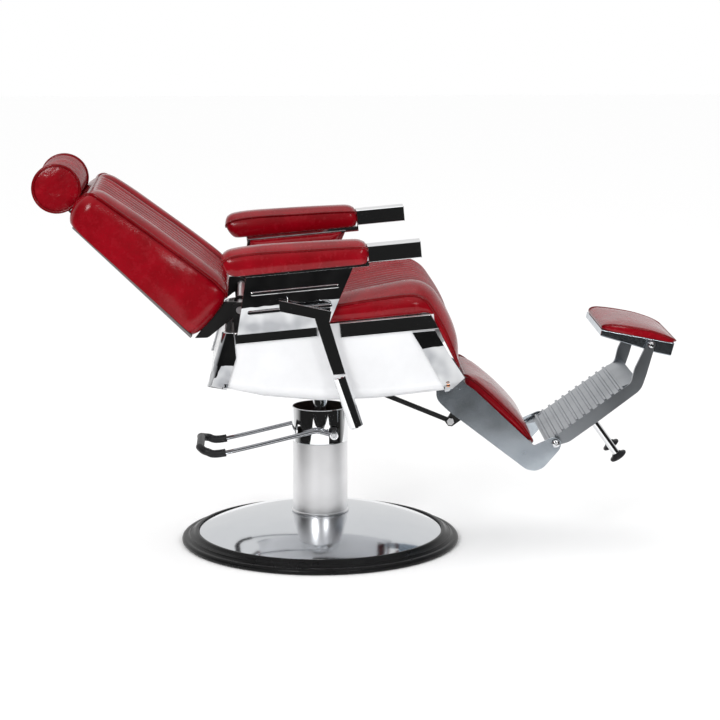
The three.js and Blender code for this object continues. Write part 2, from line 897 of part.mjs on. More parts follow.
// The crank under the back pushes the long link that lifts the leg rest.
function makeCrank() {
  const crank = frameAt(back, 0, 0, backTilt);
  const [pinX, pinZ] = crankPin();
  const inner = -(linkY + linkThickness + gap);
  const outer = inner - crankThickness;
  const along = new THREE.Vector2(pinX, pinZ).setLength(1);
  const across = [-along.y * 9, along.x * 9];
  const arm = slab(
    [
      [across[0], across[1]],
      [pinX + across[0], pinZ + across[1]],
      [pinX - across[0], pinZ - across[1]],
      [-across[0], -across[1]],
    ],
    outer,
    inner,
  );
  const boss = crossRod(0, 0, 15, outer, inner);
  const eye = crossRod(pinX, pinZ, 10, outer, inner);
  const pin = crossRod(pinX, pinZ, crankPinRadius, inner - 1, -(linkY - 2));
  const bore = crossRod(0, 0, reclineShaftRadius + gap, outer - 5, inner + 5);
  place(crank, "recline_crank", cut(join(arm, boss, eye, pin), bore), blackSteel);
}

// The crank's pin from the recline pivot, upright, as [x, z].
function crankPin() {
  const lean = THREE.MathUtils.degToRad(crankLean);
  return [crankLength * Math.sin(lean), -crankLength * Math.cos(lean)];
}

function makeHeadrest() {
  const half = bolsterLength / 2;
  const edge = 7;
  const profile = [
    [0, -half],
    [bolsterRadius - edge, -half],
    [bolsterRadius, -half + edge],
    [bolsterRadius, half - edge],
    [bolsterRadius - edge, half],
    [0, half],
  ];
  const bolster = turned(profile, 36);
  bolster.rotateX(Math.PI / 2);
  bolster.translate(bolsterX, 0, bolsterZ);

  const strapFace = -gap - boardThickness - gap;
  const strapTop = boardLength + 90;
  const strap = (grow) => {
    const geometry = box(
      strapFace - strapThickness - grow,
      strapFace + grow,
      -strapWidth / 2 - grow,
      strapWidth / 2 + grow,
      strapFoot,
      strapTop + grow,
    );
    return geometry;
  };
  const slot = strap(gap);
  slot.rotateY(THREE.MathUtils.degToRad(rearSlant));
  slot.translate(cushionFootX, 0, backFoot + 8);
  place(back, "headrest_bolster", cut(bolster, slot), redLeather);
  place(boardFrame, "headrest_strap", strap(0), chrome);
}

const legrest = frameAt(chair, legPivotX, legPivotZ, legTilt);

function makeLegrest() {
  const plateOuter = legPlateY + legPlateThickness / 2;
  const plateInner = legPlateY - legPlateThickness / 2;
  const outline = rounded([
    [-14, -12, 10],
    [-6, 15, 10],
    [30, 16],
    [72, 22],
    [legLength - 34, 17],
    [legLength - 14, legHingeRise + 8, 8],
    [legLength + 6, legHingeRise + 15, 10],
    [legLength + 17, legHingeRise - 4, 8],
    [legLength + 18, -8, 6],
    [legLength + 9, -26, 8],
    [legLength - 9, -37, 8],
    [59, -55, 8],
    [22, -53, 14],
  ]);
  const plates = sides.map(([, side]) => slab(outline, side * plateInner, side * plateOuter));
  const panTop = 13.5;
  const pan = box(58, calfEnd - 4, -plateInner - 1, plateInner + 1, panTop - 5.5, panTop);
  const shaftHole = crossRod(0, 0, legShaftRadius + runningGap, -200, 200);
  const hingeHole = crossRod(legLength, legHingeRise, footHingeRadius + gap, -200, 200);
  place(legrest, "leg_frame", cut(join(...plates, pan), shaftHole, hingeHole), castAluminium);

  const ear = -(linkY + linkThickness + gap);
  const hanger = slab(
    [
      [linkPivotX - 28, panTop - 9],
      [linkPivotX + 30, panTop - 9],
      [linkPivotX + 11, linkPivotZ - 6],
      [linkPivotX + 4, linkPivotZ - 11],
      [linkPivotX - 8, linkPivotZ - 9],
    ],
    ear - 5,
    ear,
  );
  const foot = box(linkPivotX - 28, linkPivotX + 30, ear - 5, ear + 26, panTop - 10, panTop - 5.5 - gap);
  const screwHole = crossRod(linkPivotX, linkPivotZ, crankPinRadius + gap, -200, 0, 16);
  place(legrest, "leg_link_bracket", cut(join(hanger, foot), screwHole), blackSteel);
  const screw = crossRod(linkPivotX, linkPivotZ, crankPinRadius, ear - 6, -(linkY - 3), 16);
  const head = crossRod(linkPivotX, linkPivotZ, 9, ear - 9, ear - 5 - gap, 6);
  place(legrest, "link_screw", join(screw, head), satinSteel);

  const base = panTop + 3.5;
  const calf = slab(
    rounded([
      [calfStart, base, 6],
      [calfStart, base + calfThickness, 12],
      [calfEnd - 58, base + calfThickness - 3, 16],
      [calfEnd, base + 10, 6],
      [calfEnd, base, 4],
    ]),
    -calfHalfWidth,
    calfHalfWidth,
  );
  place(legrest, "calf_cushion", calf, redLeather);
}

function makeLegShaft() {
  const half = tubHalfWidth - 15;
  const [x, z] = inSeat(legPivotX, legPivotZ);
  place(seat, "leg_shaft", crossRod(x, z, legShaftRadius, -half, half), satinSteel);
}

// The long link runs from the leg rest's bracket back to the crank. Its rear eye is wide on the pin.
function makeLink() {
  const [pinX, pinZ] = crankPin();
  const tilt = THREE.MathUtils.degToRad(legTilt);
  const dx = reclinePivotX + pinX - legPivotX;
  const dz = reclinePivotZ + pinZ - legPivotZ;
  const endX = dx * Math.cos(tilt) - dz * Math.sin(tilt) - linkPivotX;
  const endZ = dx * Math.sin(tilt) + dz * Math.cos(tilt) - linkPivotZ;
  const link = frameAt(legrest, linkPivotX, linkPivotZ, 0);
  const along = new THREE.Vector2(endX, endZ).setLength(1);
  const sideX = (-along.y * linkWidth) / 2;
  const sideZ = (along.x * linkWidth) / 2;
  const near = -(linkY + linkThickness);
  const bar = slab(
    [
      [sideX, sideZ],
      [endX + sideX, endZ + sideZ],
      [endX - sideX, endZ - sideZ],
      [-sideX, -sideZ],
    ],
    near,
    -linkY,
  );
  const frontEye = crossRod(0, 0, 11, near, -linkY);
  const rearEye = crossRod(endX, endZ, 15, near, -linkY);
  const frontHole = crossRod(0, 0, crankPinRadius + gap, near - 5, 5 - linkY, 16);
  const rearHole = crossRod(endX, endZ, crankPinRadius + 4.5, near - 5, 5 - linkY, 16);
  place(link, "link_bar", cut(join(bar, frontEye, rearEye), frontHole, rearHole), blackSteel);
}

const footrest = frameAt(legrest, legLength, legHingeRise, footTilt - legTilt);

function makeFootrest() {
  const outer = footHalfWidth;
  const inner = footHalfWidth - footArmThickness;
  const top = 15.5;
  const plateTop = top - treadRibHeight;
  const tipX = flipHingeX;
  const tipZ = flipHingeZ;
  const armOutline = rounded([
    [-46, 15, 3],
    [-14, plateTop - 1],
    [223, plateTop - 1, 8],
    [248, 33, 5],
    [tipX - 8, tipZ + 7],
    [tipX + 6, tipZ - 7],
    [262, 5, 10],
    [233, -16, 14],
    [112, -19],
    [26, -19, 8],
    [8, -12],
  ]);
  const arms = [];
  for (const [, side] of sides) {
    arms.push(slab(armOutline, side * inner, side * outer));
    arms.push(crossRod(0, 0, 13, side * inner, side * outer));
    arms.push(crossRod(tipX, tipZ, 10, side * inner, side * outer));
  }
  const tread = box(-18, treadLength - 18, -outer - 1, outer + 1, plateTop - treadThickness, plateTop);
  const lip = slab(
    [
      [treadLength - 19, plateTop - treadThickness],
      [treadLength - 19, plateTop + 3],
      [treadLength + 20, 6],
      [treadLength + 20, 1],
    ],
    -inner - 1,
    inner + 1,
  );
  const ribs = [];
  for (let i = 0; i < treadRibs; i += 1) {
    const x = -8 + i * treadRibPitch;
    const half = treadRibWidth / 2;
    ribs.push(
      slab(
        [
          [x - half, plateTop - 1],
          [x - half + 2, top],
          [x + half - 2, top],
          [x + half, plateTop - 1],
        ],
        -outer,
        outer,
      ),
    );
  }
  const holes = [
    crossRod(0, 0, footHingeRadius + gap, -200, 200),
    crossRod(tipX, tipZ, flipHingeRodRadius + gap, -200, 200, 16),
  ];
  place(footrest, "foot_frame", cut(join(...arms, tread, lip, ...ribs), ...holes), castAluminium);

  const reach = legPlateY + legPlateThickness / 2 + gap;
  const shaft = crossRod(0, 0, footHingeRadius, -reach, reach);
  const heads = sides.map(([, side]) => crossRod(0, 0, 10, side * reach, side * (reach + 4), 6));
  place(footrest, "foot_hinge_rod", join(shaft, ...heads), satinSteel);

  for (const [word, side] of sides) {
    const y = (side * postSpacing) / 2;
    const postTop = plateTop - treadThickness - gap;
    const foot = postTop - footPostLength;
    const post = turned(
      [
        [0, foot],
        [footPostRadius, foot],
        [footPostRadius, postTop - 6],
        [footPostRadius + 6, postTop - 6],
        [footPostRadius + 6, postTop],
        [0, postTop],
      ],
      20,
    );
    post.translate(postAlong, y, 0);
    place(footrest, `foot_post_${word}`, post, chrome);
    const knob = turned(
      [
        [0, foot - gap],
        [footPostRadius + 3, foot - gap],
        [footPostRadius + 5, foot - 4],
        [footKnobRadius, foot - 6],
        [footKnobRadius, foot - footKnobHeight + 3],
        [footKnobRadius - 4, foot - footKnobHeight],
        [0, foot - footKnobHeight],
      ],
      24,
    );
    knob.translate(postAlong, y, 0);
    place(footrest, `foot_knob_${word}`, knob, blackRubber);
  }
}

const flipPad = frameAt(footrest, flipHingeX, flipHingeZ, flipPadTilt - footTilt);

function makeFlipPad() {
  const frontX = flipFront - 5;
  const rearX = flipRear - 3;
  const top = 12;
  const outline = rounded([
    [rearX, -3, 3],
    [rearX, top],
    [frontX, top],
    [frontX - 2, -19, 4],
    [16, -18, 6],
    [-19, -13, 8],
  ]);
  const wall = 9;
  const tray = slab(outline, -flipHalfWidth, flipHalfWidth, 1.5, 1);
  const pocketHalf = flipHalfWidth - wall;
  const pocket = box(rearX + wall, frontX - wall, -pocketHalf, pocketHalf, -40, top - 5);
  const hole = crossRod(0, 0, flipHingeRodRadius + gap, -200, 200, 16);
  place(flipPad, "flip_frame", cut(tray, pocket, hole), castAluminium);

  const shaft = crossRod(0, 0, flipHingeRodRadius, -footHalfWidth - 1, footHalfWidth + 1, 16);
  const heads = sides.map(([, side]) =>
    crossRod(0, 0, 8, side * (footHalfWidth + gap), side * (footHalfWidth + 4), 6),
  );
  place(flipPad, "flip_hinge_rod", join(shaft, ...heads), satinSteel);

  const cushion = slab(
    rounded([
      [flipRear - 4, top + gap, 3],
      [flipRear - 4, top + 12, 8],
      [-50, top + flipCushionThickness - 11, 30],
      [0, top + flipCushionThickness - 11, 30],
      [flipFront, top + 8, 6],
      [flipFront - 4, top + gap, 3],
    ]),
    -flipHalfWidth,
    flipHalfWidth,
  );
  place(flipPad, "flip_cushion", cushion, redLeather);
}

makeBase();
makePump();
makeRod();
makePedal();
makePlunger();
makeTub();
makeTrims();
makeStrips();
makeSeatMount();
makeSeatCushion();
for (const [word, side] of sides) makeArm(word, side);
makeLever();
makeBack();
makeHeadrest();
makeLegrest();
makeLegShaft();
makeLink();
makeFootrest();
makeFlipPad();

export default chair;
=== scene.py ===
import math
import random

import bpy
from mathutils import Matrix, Vector, noise


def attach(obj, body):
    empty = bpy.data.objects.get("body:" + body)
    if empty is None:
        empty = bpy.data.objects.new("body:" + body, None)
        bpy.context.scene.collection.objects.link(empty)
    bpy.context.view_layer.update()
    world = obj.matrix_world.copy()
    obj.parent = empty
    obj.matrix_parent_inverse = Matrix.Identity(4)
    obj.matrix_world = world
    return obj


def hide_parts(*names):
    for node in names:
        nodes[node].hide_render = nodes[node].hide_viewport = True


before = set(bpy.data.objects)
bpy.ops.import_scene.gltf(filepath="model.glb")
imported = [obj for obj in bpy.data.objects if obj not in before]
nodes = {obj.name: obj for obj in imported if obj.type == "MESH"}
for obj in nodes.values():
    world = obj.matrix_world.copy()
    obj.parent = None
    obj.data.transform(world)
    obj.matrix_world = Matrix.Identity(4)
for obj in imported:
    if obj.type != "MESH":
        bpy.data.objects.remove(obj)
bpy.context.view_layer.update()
print("frame loaded")


# places: local frames, each with its x along the part and its z away from it
def placedFrame(x, z, tilt):
    return Matrix.Translation((x, 0, z)) @ Matrix.Rotation(math.radians(tilt), 4, "Y")


floorFrame = Matrix.Identity(4)
seatFrame = placedFrame(0, 0.450, -5.2)
backFrame = placedFrame(-0.186, 0.590, -53.6)
legFrame = placedFrame(0.284, 0.424, 42)
footFrame = legFrame @ placedFrame(0.3009, 0.0543, -77.6)
flipFrame = footFrame @ placedFrame(0.312, 0.0575, 46.6)
pedalFrame = placedFrame(0.031, 0.2699, 0)
sides = (("left", 1), ("right", -1))


# camera
cameraSettings = {"place": (-0.1328, -5.5974, 1.4813), "pitch": 10.58, "yaw": 2.33, "lens": 120.5}


def makeCamera(settings):
    data = bpy.data.cameras.new("studioCamera")
    data.lens = settings["lens"]
    data.sensor_width = 36
    data.clip_end = 60
    camera = bpy.data.objects.new("studioCamera", data)
    camera.location = settings["place"]
    camera.rotation_euler = (math.radians(90 - settings["pitch"]), 0, math.radians(-settings["yaw"]))
    bpy.context.collection.objects.link(camera)
    bpy.context.scene.camera = camera


makeCamera(cameraSettings)


# material effects that several finishes share
def newGroup(name, inputs, outputs):
    group = bpy.data.node_groups.new(name, "ShaderNodeTree")
    for label, value in inputs:
        socket = group.interface.new_socket(label, in_out="INPUT", socket_type="NodeSocketFloat")
        socket.default_value = value
    for label, kind in outputs:
        group.interface.new_socket(label, in_out="OUTPUT", socket_type=kind)
    start = group.nodes.new("NodeGroupInput")
    end = group.nodes.new("NodeGroupOutput")
    place = group.nodes.new("ShaderNodeTexCoord")
    return group, start, end, place


def addNode(tree, kind, **values):
    node = tree.nodes.new(kind)
    for key, value in values.items():
        if key in node.inputs:
            node.inputs[key].default_value = value
        else:
            setattr(node, key, value)
    return node


def addMath(tree, operation, first, second, clamp=False):
    node = tree.nodes.new("ShaderNodeMath")
    node.operation = operation
    node.use_clamp = clamp
    for index, value in enumerate((first, second)):
        if isinstance(value, (int, float)):
            node.inputs[index].default_value = value
        else:
            tree.links.new(value, node.inputs[index])
    return node.outputs[0]


def addNoise(tree, place, scale, detail=3.0, roughness=0.55):
    texture = addNode(tree, "ShaderNodeTexNoise", Scale=scale, Detail=detail, Roughness=roughness)
    tree.links.new(place, texture.inputs["Vector"])
    return texture.outputs["Fac"]


def addRange(tree, value, low, high, toLow=0.0, toHigh=1.0):
    node = addNode(tree, "ShaderNodeMapRange")
    tree.links.new(value, node.inputs["Value"])
    node.inputs["From Min"].default_value = low
    node.inputs["From Max"].default_value = high
    node.inputs["To Min"].default_value = toLow
    node.inputs["To Max"].default_value = toHigh
    return node.outputs["Result"]


def leatherEffect():
    # pebbled grain, slack creases and cloudy waxing of pulled leather
    group, start, end, place = newGroup(
        "leatherEffect",
        (("Grain Scale", 900.0), ("Crease Scale", 45.0), ("Crease Depth", 0.5)),
        (("Height", "NodeSocketFloat"), ("Cloud", "NodeSocketFloat"), ("Rub", "NodeSocketFloat")),
    )
    spot = place.outputs["Object"]
    grain = addNode(group, "ShaderNodeTexVoronoi", feature="DISTANCE_TO_EDGE")
    group.links.new(spot, grain.inputs["Vector"])
    group.links.new(start.outputs["Grain Scale"], grain.inputs["Scale"])
    pebble = addRange(group, grain.outputs["Distance"], 0.0, 0.25)
    crease = addNode(group, "ShaderNodeTexNoise", Detail=4.0, Roughness=0.6, Distortion=0.6)
    group.links.new(spot, crease.inputs["Vector"])
    group.links.new(start.outputs["Crease Scale"], crease.inputs["Scale"])
    slack = addMath(group, "MULTIPLY", crease.outputs["Fac"], start.outputs["Crease Depth"])
    fine = addMath(group, "MULTIPLY", pebble, 0.02)
    group.links.new(addMath(group, "ADD", slack, fine), end.inputs["Height"])
    cloud = addRange(group, addNoise(group, spot, 16.0, 5.0, 0.6), 0.30, 0.70)
    group.links.new(cloud, end.inputs["Cloud"])
    rub = addRange(group, addNoise(group, spot, 55.0, 4.0, 0.65), 0.5, 0.72)
    group.links.new(rub, end.inputs["Rub"])
    return group


def metalEffect():
    # faint haze, wipe marks and specks on plated and painted metal
    group, start, end, place = newGroup(
        "metalEffect",
        (("Haze Scale", 9.0), ("Base Roughness", 0.05), ("Haze", 0.06), ("Marks", 0.05)),
        (("Roughness", "NodeSocketFloat"), ("Height", "NodeSocketFloat"), ("Mask", "NodeSocketFloat")),
    )
    spot = place.outputs["Object"]
    haze = addNode(group, "ShaderNodeTexNoise", Detail=4.0, Roughness=0.6)
    group.links.new(spot, haze.inputs["Vector"])
    group.links.new(start.outputs["Haze Scale"], haze.inputs["Scale"])
    cloudy = addRange(group, haze.outputs["Fac"], 0.4, 0.7)
    wipes = addRange(group, addNoise(group, spot, 140.0, 6.0, 0.75), 0.62, 0.8)
    rough = addMath(group, "MULTIPLY", cloudy, start.outputs["Haze"])
    rough = addMath(group, "ADD", rough, start.outputs["Base Roughness"])
    rough = addMath(group, "ADD", rough, addMath(group, "MULTIPLY", wipes, start.outputs["Marks"]))
    group.links.new(rough, end.inputs["Roughness"])
    group.links.new(cloudy, end.inputs["Mask"])
    ripple = addNoise(group, spot, 22.0, 2.0, 0.5)
    group.links.new(ripple, end.inputs["Height"])
    return group


leatherGroup = leatherEffect()
metalGroup = metalEffect()


def newMaterial(name, **values):
    material = bpy.data.materials.new(name)
    material.use_nodes = True
    shader = material.node_tree.nodes["Principled BSDF"]
    for key, value in values.items():
        shader.inputs[key.replace("_", " ")].default_value = value
    return material, material.node_tree, shader


def useGroup(tree, group, **values):
    node = tree.nodes.new("ShaderNodeGroup")
    node.node_tree = group
    for key, value in values.items():
        node.inputs[key.replace("_", " ")].default_value = value
    return node


def mixColours(tree, mask, first, second):
    mix = addNode(tree, "ShaderNodeMix", data_type="RGBA")
    mix.inputs[6].default_value = (*first, 1)
    mix.inputs[7].default_value = (*second, 1)
    tree.links.new(mask, mix.inputs["Factor"])
    return mix


def bumpInto(tree, shader, height, strength, distance):
    bump = addNode(tree, "ShaderNodeBump", Strength=strength, Distance=distance)
    tree.links.new(height, bump.inputs["Height"])
    tree.links.new(bump.outputs["Normal"], shader.inputs["Normal"])
    tree.links.new(bump.outputs["Normal"], shader.inputs["Coat Normal"])


def makeLeather(name, dark, light, creaseDepth):
    material, tree, shader = newMaterial(
        name, Specular_IOR_Level=0.12, Coat_Weight=0.42, Coat_Roughness=0.14, Coat_IOR=1.42
    )
    effect = useGroup(tree, leatherGroup, Crease_Depth=creaseDepth)
    mix = mixColours(tree, effect.outputs["Cloud"], dark, light)
    worn = addNode(tree, "ShaderNodeMix", data_type="RGBA")
    worn.inputs[7].default_value = (light[0] * 1.4, light[1] * 3.0, light[2] * 2.0, 1)
    tree.links.new(mix.outputs[2], worn.inputs[6])
    tree.links.new(addMath(tree, "MULTIPLY", effect.outputs["Rub"], 0.18), worn.inputs["Factor"])
    # painted shade: the sewn valleys and the rim beside the piping are darkened for the shadow that falls in them
    seamShade = addNode(tree, "ShaderNodeAttribute", attribute_name="seamShade")
    deep = addNode(tree, "ShaderNodeMix", data_type="RGBA")
    deep.inputs[7].default_value = (dark[0] * 0.16, dark[1] * 0.3, dark[2] * 0.3, 1)
    tree.links.new(worn.outputs[2], deep.inputs[6])
    tree.links.new(addMath(tree, "MULTIPLY", seamShade.outputs["Fac"], 0.9), deep.inputs["Factor"])
    tree.links.new(deep.outputs[2], shader.inputs["Base Color"])
    tree.links.new(addRange(tree, effect.outputs["Rub"], 0.0, 1.0, 0.24, 0.36), shader.inputs["Roughness"])
    bumpInto(tree, shader, effect.outputs["Height"], 0.3, 0.003)
    return material


def makeMetal(name, colour, roughness, haze, marks, metallic=1.0, bump=0.02, tint=None, gloss=0.5):
    material, tree, shader = newMaterial(name, Metallic=metallic, Specular_IOR_Level=gloss)
    effect = useGroup(tree, metalGroup, Base_Roughness=roughness, Haze=haze, Marks=marks)
    tree.links.new(effect.outputs["Roughness"], shader.inputs["Roughness"])
    other = tint or tuple(c * 0.93 for c in colour)
    mix = mixColours(tree, effect.outputs["Mask"], colour, other)
    tree.links.new(mix.outputs[2], shader.inputs["Base Color"])
    if bump:
        bumpInto(tree, shader, effect.outputs["Height"], bump, 0.002)
    return material


def makePressedChrome(name, level, reach, scale, wave):
    # pressed sheet: its flats wander, and below the level its foot turns in towards the floor
    material, tree, shader = newMaterial(name, Metallic=1.0)
    effect = useGroup(tree, metalGroup, Base_Roughness=0.03, Haze=0.03, Marks=0.03)
    tree.links.new(effect.outputs["Roughness"], shader.inputs["Roughness"])
    place = addNode(tree, "ShaderNodeTexCoord")
    split = addNode(tree, "ShaderNodeSeparateXYZ")
    tree.links.new(place.outputs["Object"], split.inputs[0])
    rise = addMath(tree, "ADD", split.outputs["Z"], addMath(tree, "MULTIPLY", split.outputs["X"], -0.091))
    wander = addNoise(tree, place.outputs["Object"], scale, 2.0, 0.5)
    rise = addMath(tree, "ADD", rise, addMath(tree, "MULTIPLY", addMath(tree, "SUBTRACT", wander, 0.5), reach))
    foot = addMath(tree, "MULTIPLY", addMath(tree, "MINIMUM", rise, level), 0.36)
    fine = addNoise(tree, place.outputs["Object"], 24.0, 1.0, 0.5)
    height = addMath(tree, "ADD", foot, addMath(tree, "MULTIPLY", fine, wave))
    # painted reflection: random patches of darker base colour turn what the sheet reflects grey in places
    mix = mixColours(tree, addRange(tree, fine, 0.35, 0.65), (0.66, 0.67, 0.68), (0.40, 0.41, 0.43))
    tree.links.new(mix.outputs[2], shader.inputs["Base Color"])
    bump = addNode(tree, "ShaderNodeBump", Strength=1.0, Distance=1.0)
    tree.links.new(height, bump.inputs["Height"])
    tree.links.new(bump.outputs["Normal"], shader.inputs["Normal"])
    return material


redLeather = makeLeather("redLeather", (0.165, 0.0002, 0.0030), (0.245, 0.0004, 0.0060), 0.55)
crinkledLeather = makeLeather("crinkledLeather", (0.140, 0.0002, 0.003), (0.26, 0.0005, 0.006), 2.2)
# the piping's leather is darker than the pads': painted shade for the shadowed gaps beside the piping
pipingLeather = makeLeather("pipingLeather", (0.11, 0.0003, 0.0016), (0.17, 0.0005, 0.003), 0.1)
chromePlate = makeMetal("chromePlate", (0.86, 0.87, 0.88), 0.025, 0.03, 0.03, bump=0.03)
chromeSoft = makeMetal("chromeSoft", (0.80, 0.81, 0.83), 0.10, 0.06, 0.05, bump=0.04)
pressedChrome = makePressedChrome("pressedChrome", 0.622, 0.045, 9.0, 0.0009)
wrappedChrome = makePressedChrome("wrappedChrome", 0.490, 0.030, 14.0, 0.0004)
rodChrome = makeMetal("rodChrome", (0.46, 0.47, 0.49), 0.04, 0.03, 0.03, bump=0.02)
discChrome = makeMetal("discChrome", (0.73, 0.75, 0.775), 0.09, 0.03, 0.03, bump=0.02, tint=(0.70, 0.72, 0.75))
satinColumn = makeMetal("satinColumn", (0.84, 0.84, 0.85), 0.32, 0.05, 0.04, bump=0.0)
castAluminium = makeMetal("castAluminium", (0.50, 0.545, 0.59), 0.17, 0.12, 0.05, bump=0.0, tint=(0.38, 0.42, 0.465))
treadAluminium = makeMetal("treadAluminium", (0.37, 0.39, 0.415), 0.30, 0.10, 0.08, bump=0.04)
blackSteel = makeMetal("blackSteel", (0.010, 0.010, 0.010), 0.32, 0.12, 0.10, metallic=0.0, bump=0.10, gloss=0.35)
castIron = makeMetal("castIron", (0.05, 0.05, 0.052), 0.5, 0.12, 0.10, metallic=0.4, bump=0.25)
whitePaint = makeMetal("whitePaint", (0.755, 0.76, 0.775), 0.14, 0.06, 0.04, metallic=0.0, bump=0.02)
greyBoard = makeMetal("greyBoard", (0.16, 0.15, 0.15), 0.5, 0.10, 0.08, metallic=0.0, bump=0.08, gloss=0.3)
blackRubber = makeMetal("blackRubber", (0.003, 0.003, 0.0033), 0.26, 0.10, 0.08, metallic=0.0, bump=0.05, gloss=0.18)
dullRubber = makeMetal("dullRubber", (0.008, 0.008, 0.009), 0.38, 0.15, 0.12, metallic=0.0, bump=0.12, gloss=0.35)
brownOil = makeMetal("brownOil", (0.020, 0.010, 0.007), 0.35, 0.15, 0.10, metallic=0.0, bump=0.1)
copperRivet = makeMetal("copperRivet", (0.55, 0.27, 0.16), 0.22, 0.12, 0.10)
print("materials made")


# modelling helpers
def deselectAll():
    if bpy.context.object and bpy.context.object.mode != "OBJECT":
        bpy.ops.object.mode_set(mode="OBJECT")
    bpy.ops.object.select_all(action="DESELECT")


def makeActive(piece):
    deselectAll()
    piece.select_set(True)
    bpy.context.view_layer.objects.active = piece


def settle(piece, place):
    # puts the piece's place into its mesh, so its object stands at the origin
    piece.data.transform(place @ piece.matrix_basis)
    piece.matrix_basis = Matrix.Identity(4)
    piece.data.update()


def applyModifier(piece, kind, **values):
    makeActive(piece)
    modifier = piece.modifiers.new(kind.lower(), kind)
    for key, value in values.items():
        setattr(modifier, key, value)
    bpy.ops.object.modifier_apply(modifier=modifier.name)


def smoothByAngle(piece, degrees):
    makeActive(piece)
    bpy.ops.object.shade_smooth_by_angle(angle=math.radians(degrees))


def outwards(piece):
    makeActive(piece)
    bpy.ops.object.mode_set(mode="EDIT")
    bpy.ops.mesh.select_all(action="SELECT")
    bpy.ops.mesh.remove_doubles(threshold=0.00002)
    bpy.ops.mesh.normals_make_consistent(inside=False)
    bpy.ops.object.mode_set(mode="OBJECT")


def meshPiece(name, points, faces, place=floorFrame, seamShades=None, held=None):
    data = bpy.data.meshes.new(name)
    data.from_pydata([tuple(p) for p in points], [], faces)
    data.update()
    for label, given in (("seamShade", seamShades), ("held", held)):
        if given:
            values = data.attributes.new(label, "FLOAT", "POINT")
            for at, value in enumerate(given):
                values.data[at].value = value
    piece = bpy.data.objects.new(name, data)
    bpy.context.collection.objects.link(piece)
    data.transform(place)
    return piece


def ready(piece, body, slotName, material, *replaced):
    if not piece.data.materials:
        piece.data.materials.append(material)
    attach(piece, body)
    if replaced:
        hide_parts(*replaced)
    return piece


def turnedPiece(name, profile, place, segments=96, smooth=32):
    # a profile of (radius, height) spun about the local z axis; a closed ring ends where it starts
    data = bpy.data.meshes.new(name)
    edges = [(i, i + 1) for i in range(len(profile) - 1)]
    data.from_pydata([(r, 0, z) for r, z in profile], edges, [])
    piece = bpy.data.objects.new(name, data)
    bpy.context.collection.objects.link(piece)
    makeActive(piece)
    bpy.ops.object.mode_set(mode="EDIT")
    bpy.ops.mesh.select_all(action="SELECT")
    bpy.ops.mesh.spin(steps=segments, angle=2 * math.pi, center=(0, 0, 0), axis=(0, 0, 1))
    bpy.ops.mesh.select_all(action="SELECT")
    bpy.ops.mesh.remove_doubles(threshold=0.00001)
    bpy.ops.mesh.normals_make_consistent(inside=False)
    bpy.ops.object.mode_set(mode="OBJECT")
    settle(piece, place)
    smoothByAngle(piece, smooth)
    return piece


def softCorners(profile, radius, steps=3):
    # the same profile with each inner corner rounded
    made = [profile[0]]
    for before, corner, after in zip(profile, profile[1:], profile[2:]):
        c = Vector(corner)
        a = Vector(before) - c
        b = Vector(after) - c
        r = min(radius, 0.45 * a.length, 0.45 * b.length)
        start = c + a.normalized() * r
        end = c + b.normalized() * r
        for i in range(steps + 1):
            t = i / steps
            made.append(tuple((1 - t) ** 2 * start + 2 * t * (1 - t) * c + t * t * end))
    made.append(profile[-1])
    return made


def smoothPath(points, count, closed=False):
    # evenly spaced points on a smooth curve through the given ones
    given = [Vector(p) for p in points]
    total = len(given)
    fine = []
    spans = total if closed else total - 1
    for i in range(spans):
        p1 = given[i]
        p2 = given[(i + 1) % total]
        p0 = given[i - 1] if closed or i > 0 else p1 * 2 - p2
        p3 = given[(i + 2) % total] if closed or i + 2 < total else p2 * 2 - p1
        for k in range(16):
            t = k / 16
            a = p1 * 2 + (p2 - p0) * t
            b = (p0 * 2 - p1 * 5 + p2 * 4 - p3) * t * t
            c = (p1 * 3 - p0 - p2 * 3 + p3) * t * t * t
            fine.append((a + b + c) * 0.5)
    fine.append(given[0] if closed else given[-1])
    lengths = [0.0]
    for a, b in zip(fine, fine[1:]):
        lengths.append(lengths[-1] + (b - a).length)
    made = []
    at = 0
    for i in range(count):
        want = lengths[-1] * i / (count if closed else count - 1)
        while at < len(fine) - 2 and lengths[at + 1] < want:
            at += 1
        step = lengths[at + 1] - lengths[at]
        share = (want - lengths[at]) / step if step > 0 else 0
        made.append(fine[at].lerp(fine[at + 1], min(1, max(0, share))))
    return made


def tubePiece(name, points, radius, place, closed=False, sidesRound=12):
    # a round bar or cord through the points
    curve = bpy.data.curves.new(name, "CURVE")
    curve.dimensions = "3D"
    spline = curve.splines.new("POLY")
    spline.points.add(len(points) - 1)
    for at, point in zip(spline.points, points):
        at.co = (*point, 1)
    spline.use_cyclic_u = closed
    curve.bevel_depth = radius
    curve.bevel_resolution = sidesRound // 2 - 2
    curve.use_fill_caps = not closed
    piece = bpy.data.objects.new(name, curve)
    bpy.context.collection.objects.link(piece)
    makeActive(piece)
    bpy.ops.object.convert(target="MESH")
    piece = bpy.context.object
    piece.data.materials.clear()
    settle(piece, place)
    outwards(piece)
    smoothByAngle(piece, 50)
    return piece


def slabPiece(name, outline, fromY, toY, place, bevel=0.0012, segments=3):
    # a flat plate standing across y, with its edges broken
    count = len(outline)
    points = [(x, fromY, z) for x, z in outline] + [(x, toY, z) for x, z in outline]
    faces = [tuple(range(count)), tuple(range(2 * count - 1, count - 1, -1))]
    faces += [(i, (i + 1) % count, (i + 1) % count + count, i + count) for i in range(count)]
    piece = meshPiece(name, points, faces, place)
    outwards(piece)
    applyModifier(piece, "BEVEL", width=bevel, segments=segments, limit_method="ANGLE", angle_limit=math.radians(30))
    smoothByAngle(piece, 40)
    applyModifier(piece, "WEIGHTED_NORMAL", keep_sharp=True)
    return piece


